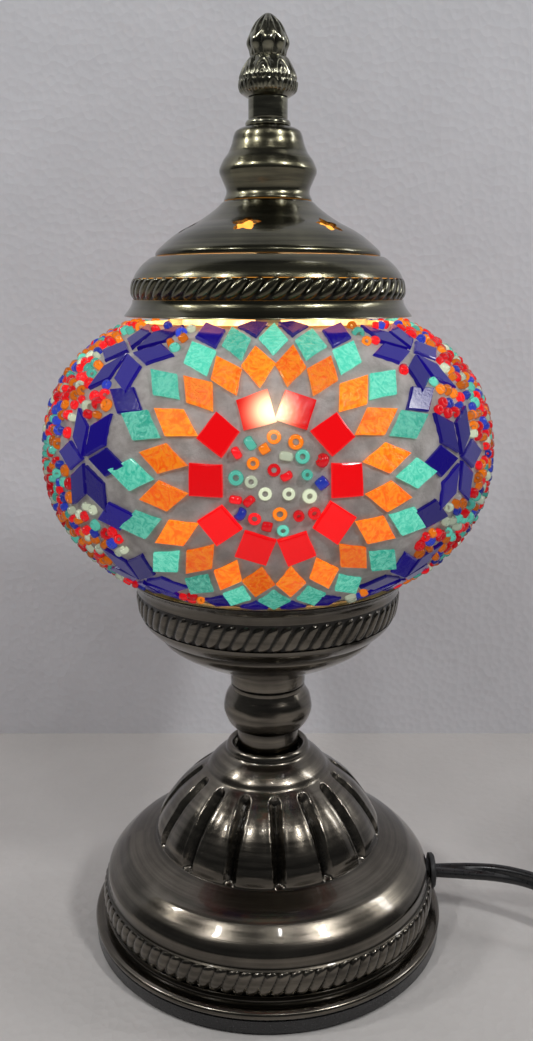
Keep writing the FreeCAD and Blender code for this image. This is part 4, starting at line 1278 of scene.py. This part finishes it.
def tie_piece():
    """A soft strap round the coil's turns."""
    heading = math.radians(-128.0)
    outward = np.array([math.cos(heading), math.sin(heading), 0.0])
    along = np.array([-math.sin(heading), math.cos(heading), 0.0])
    centre = np.array([COIL_CENTRE[0], COIL_CENTRE[1], 0.0]) + outward * 33.0
    half_width, thickness = 2.8, 0.6
    vertices = []
    count = 48
    for k in range(count):
        turn = TURN * k / count
        c, s = math.cos(turn), math.sin(turn)
        ring = []
        for inflate in (0.0, thickness):
            x = (10.2 + inflate) * math.copysign(abs(c) ** 0.4, c)
            z = 7.05 + (6.9 + inflate * 0.2) * math.copysign(abs(s) ** 0.4, s)
            ring.append(centre + outward * x + np.array([0, 0, z]))
        inner, outer = ring
        edge = along * half_width
        vertices.extend([inner - edge, outer - edge, outer + edge, inner + edge])
    faces = ring_faces(count, 4, closed=True)
    piece = make_piece("coil_strap", vertices, faces, [RUBBER], sharp=40.0)
    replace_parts(piece, "cord_tie")
    return piece


# ---- finishes of the CAD nodes that stay ----

def finish_nodes():
    finishes = {
        FELT: ["felt_ring"], BLACK_PAINT: ["base_cover"], IRON: ["ballast_ring"],
        ZINC: ["base_nut", "base_shell_washer", "base_shell_nut", "ballast_screws", "threaded_tube",
               "cup_washer", "cup_nut", "clip_hub", "clip_arms", "finial_rod", "rod_nuts", "bulb_contact",
               "filament", "filament_posts"],
        RUBBER: ["globe_seat_ring"], HOLDER_PLASTIC: ["holder_cap", "holder_skirt", "bulb_insulator"],
        CERAMIC: ["holder_insert"], BULB_GLASS: ["bulb_glass"], STEM_GLASS: ["filament_stem"],
        BRASS: ["holder_thread_shell", "holder_centre_contact", "terminal_screws", "bulb_screw_cap",
                "switch_pin", "switch_screws", "plug_pins"],
        BARE_GLASS: ["globe_glass"], CORD_SKIN: ["inner_lead", "terminal_wires"],
        MOULDING: ["switch_lower", "switch_upper", "switch_rocker", "plug_body"],
    }
    for material, names in finishes.items():
        for name in names:
            mesh = NODES[name].data
            mesh.materials.clear()
            mesh.materials.append(material)


# ---- stage, light and camera ----

def stage_plane(name, corners, material):
    mesh = bpy.data.meshes.new(name)
    mesh.from_pydata(corners, [], [(0, 1, 2, 3)])
    mesh.materials.append(material)
    add_object(name, mesh)


def area_light(name, azimuth, elevation, distance, size, power):
    """A soft rectangular light that faces the lamp."""
    data = bpy.data.lights.new(name, "AREA")
    data.shape = "RECTANGLE"
    data.size, data.size_y = size
    data.energy = power
    light = add_object(name, data)
    a, e = math.radians(azimuth), math.radians(elevation)
    away = Vector((math.sin(a) * math.cos(e), -math.cos(a) * math.cos(e), math.sin(e))) * distance
    light.location = Vector((0, 0, 0.17)) + away
    light.rotation_euler = away.to_track_quat("Z", "Y").to_euler()


def stage_and_light():
    wall_y, wall_top, reach = 0.167, 2.0, 2.4
    stage_plane("floor", [(-reach, -reach, 0), (reach, -reach, 0), (reach, reach, 0), (-reach, reach, 0)],
                foam_board("floor_board", (0.60, 0.575, 0.555)))
    stage_plane("backdrop", [(-reach, wall_y, 0), (reach, wall_y, 0), (reach, wall_y, wall_top),
                             (-reach, wall_y, wall_top)],
                foam_board("backdrop_board", (0.78, 0.79, 0.83), True))
    world = bpy.data.worlds.new("room")
    world.use_nodes = True
    room = world.node_tree.nodes["Background"]
    room.inputs["Color"].default_value = (0.93, 0.96, 1.0, 1.0)
    room.inputs["Strength"].default_value = 0.075
    bpy.context.scene.world = world
    for name, azimuth, elevation, distance, size, power in (
        ("lamp_far_left", -81, 40, 1.5, (0.10, 0.22), 4.0), ("lamp_left", -42, 44, 1.5, (0.08, 0.18), 3.6),
        ("lamp_middle", 11, 52, 1.5, (0.04, 0.07), 0.8), ("lamp_right", 46, 42, 1.5, (0.10, 0.22), 6.4),
        ("window", 97, 28, 1.5, (0.26, 0.5), 6.5), ("ceiling", 120, 68, 1.7, (0.4, 0.4), 3.6),
    ):
        area_light(name, azimuth, elevation, distance, size, power)
    globe_light()


def globe_light():
    """The lamp's own warm light, which only the metal can shade."""
    data = bpy.data.lights.new("globe_glow", "POINT")
    data.energy = 0.3
    data.color = (1.0, 0.42, 0.2)
    data.shadow_soft_size = 0.05
    light = add_object("globe_glow", data)
    light.location = (0, 0, GLOBE_CENTRE * MM + 0.02)
    blockers = bpy.data.collections.new("metal_blockers")
    for piece in bpy.context.scene.objects:
        if piece.name.endswith("_metal"):
            blockers.objects.link(piece)
    light.light_linking.blocker_collection = blockers


def add_camera():
    data = bpy.data.cameras.new("camera")
    data.lens = 33.755
    data.sensor_width = 36.0
    data.clip_start = 0.01
    camera = add_object("camera", data)
    camera.location = (-0.0005, -0.3524, 0.2468)
    camera.rotation_euler = (math.radians(76.888), 0, 0)
    bpy.context.scene.camera = camera
    bpy.context.scene.view_settings.view_transform = "Standard"


add_camera()
cord_pieces()
base_pieces()
cap_pieces()
finial_pieces()
globe_pieces()
finish_nodes()
stage_and_light()
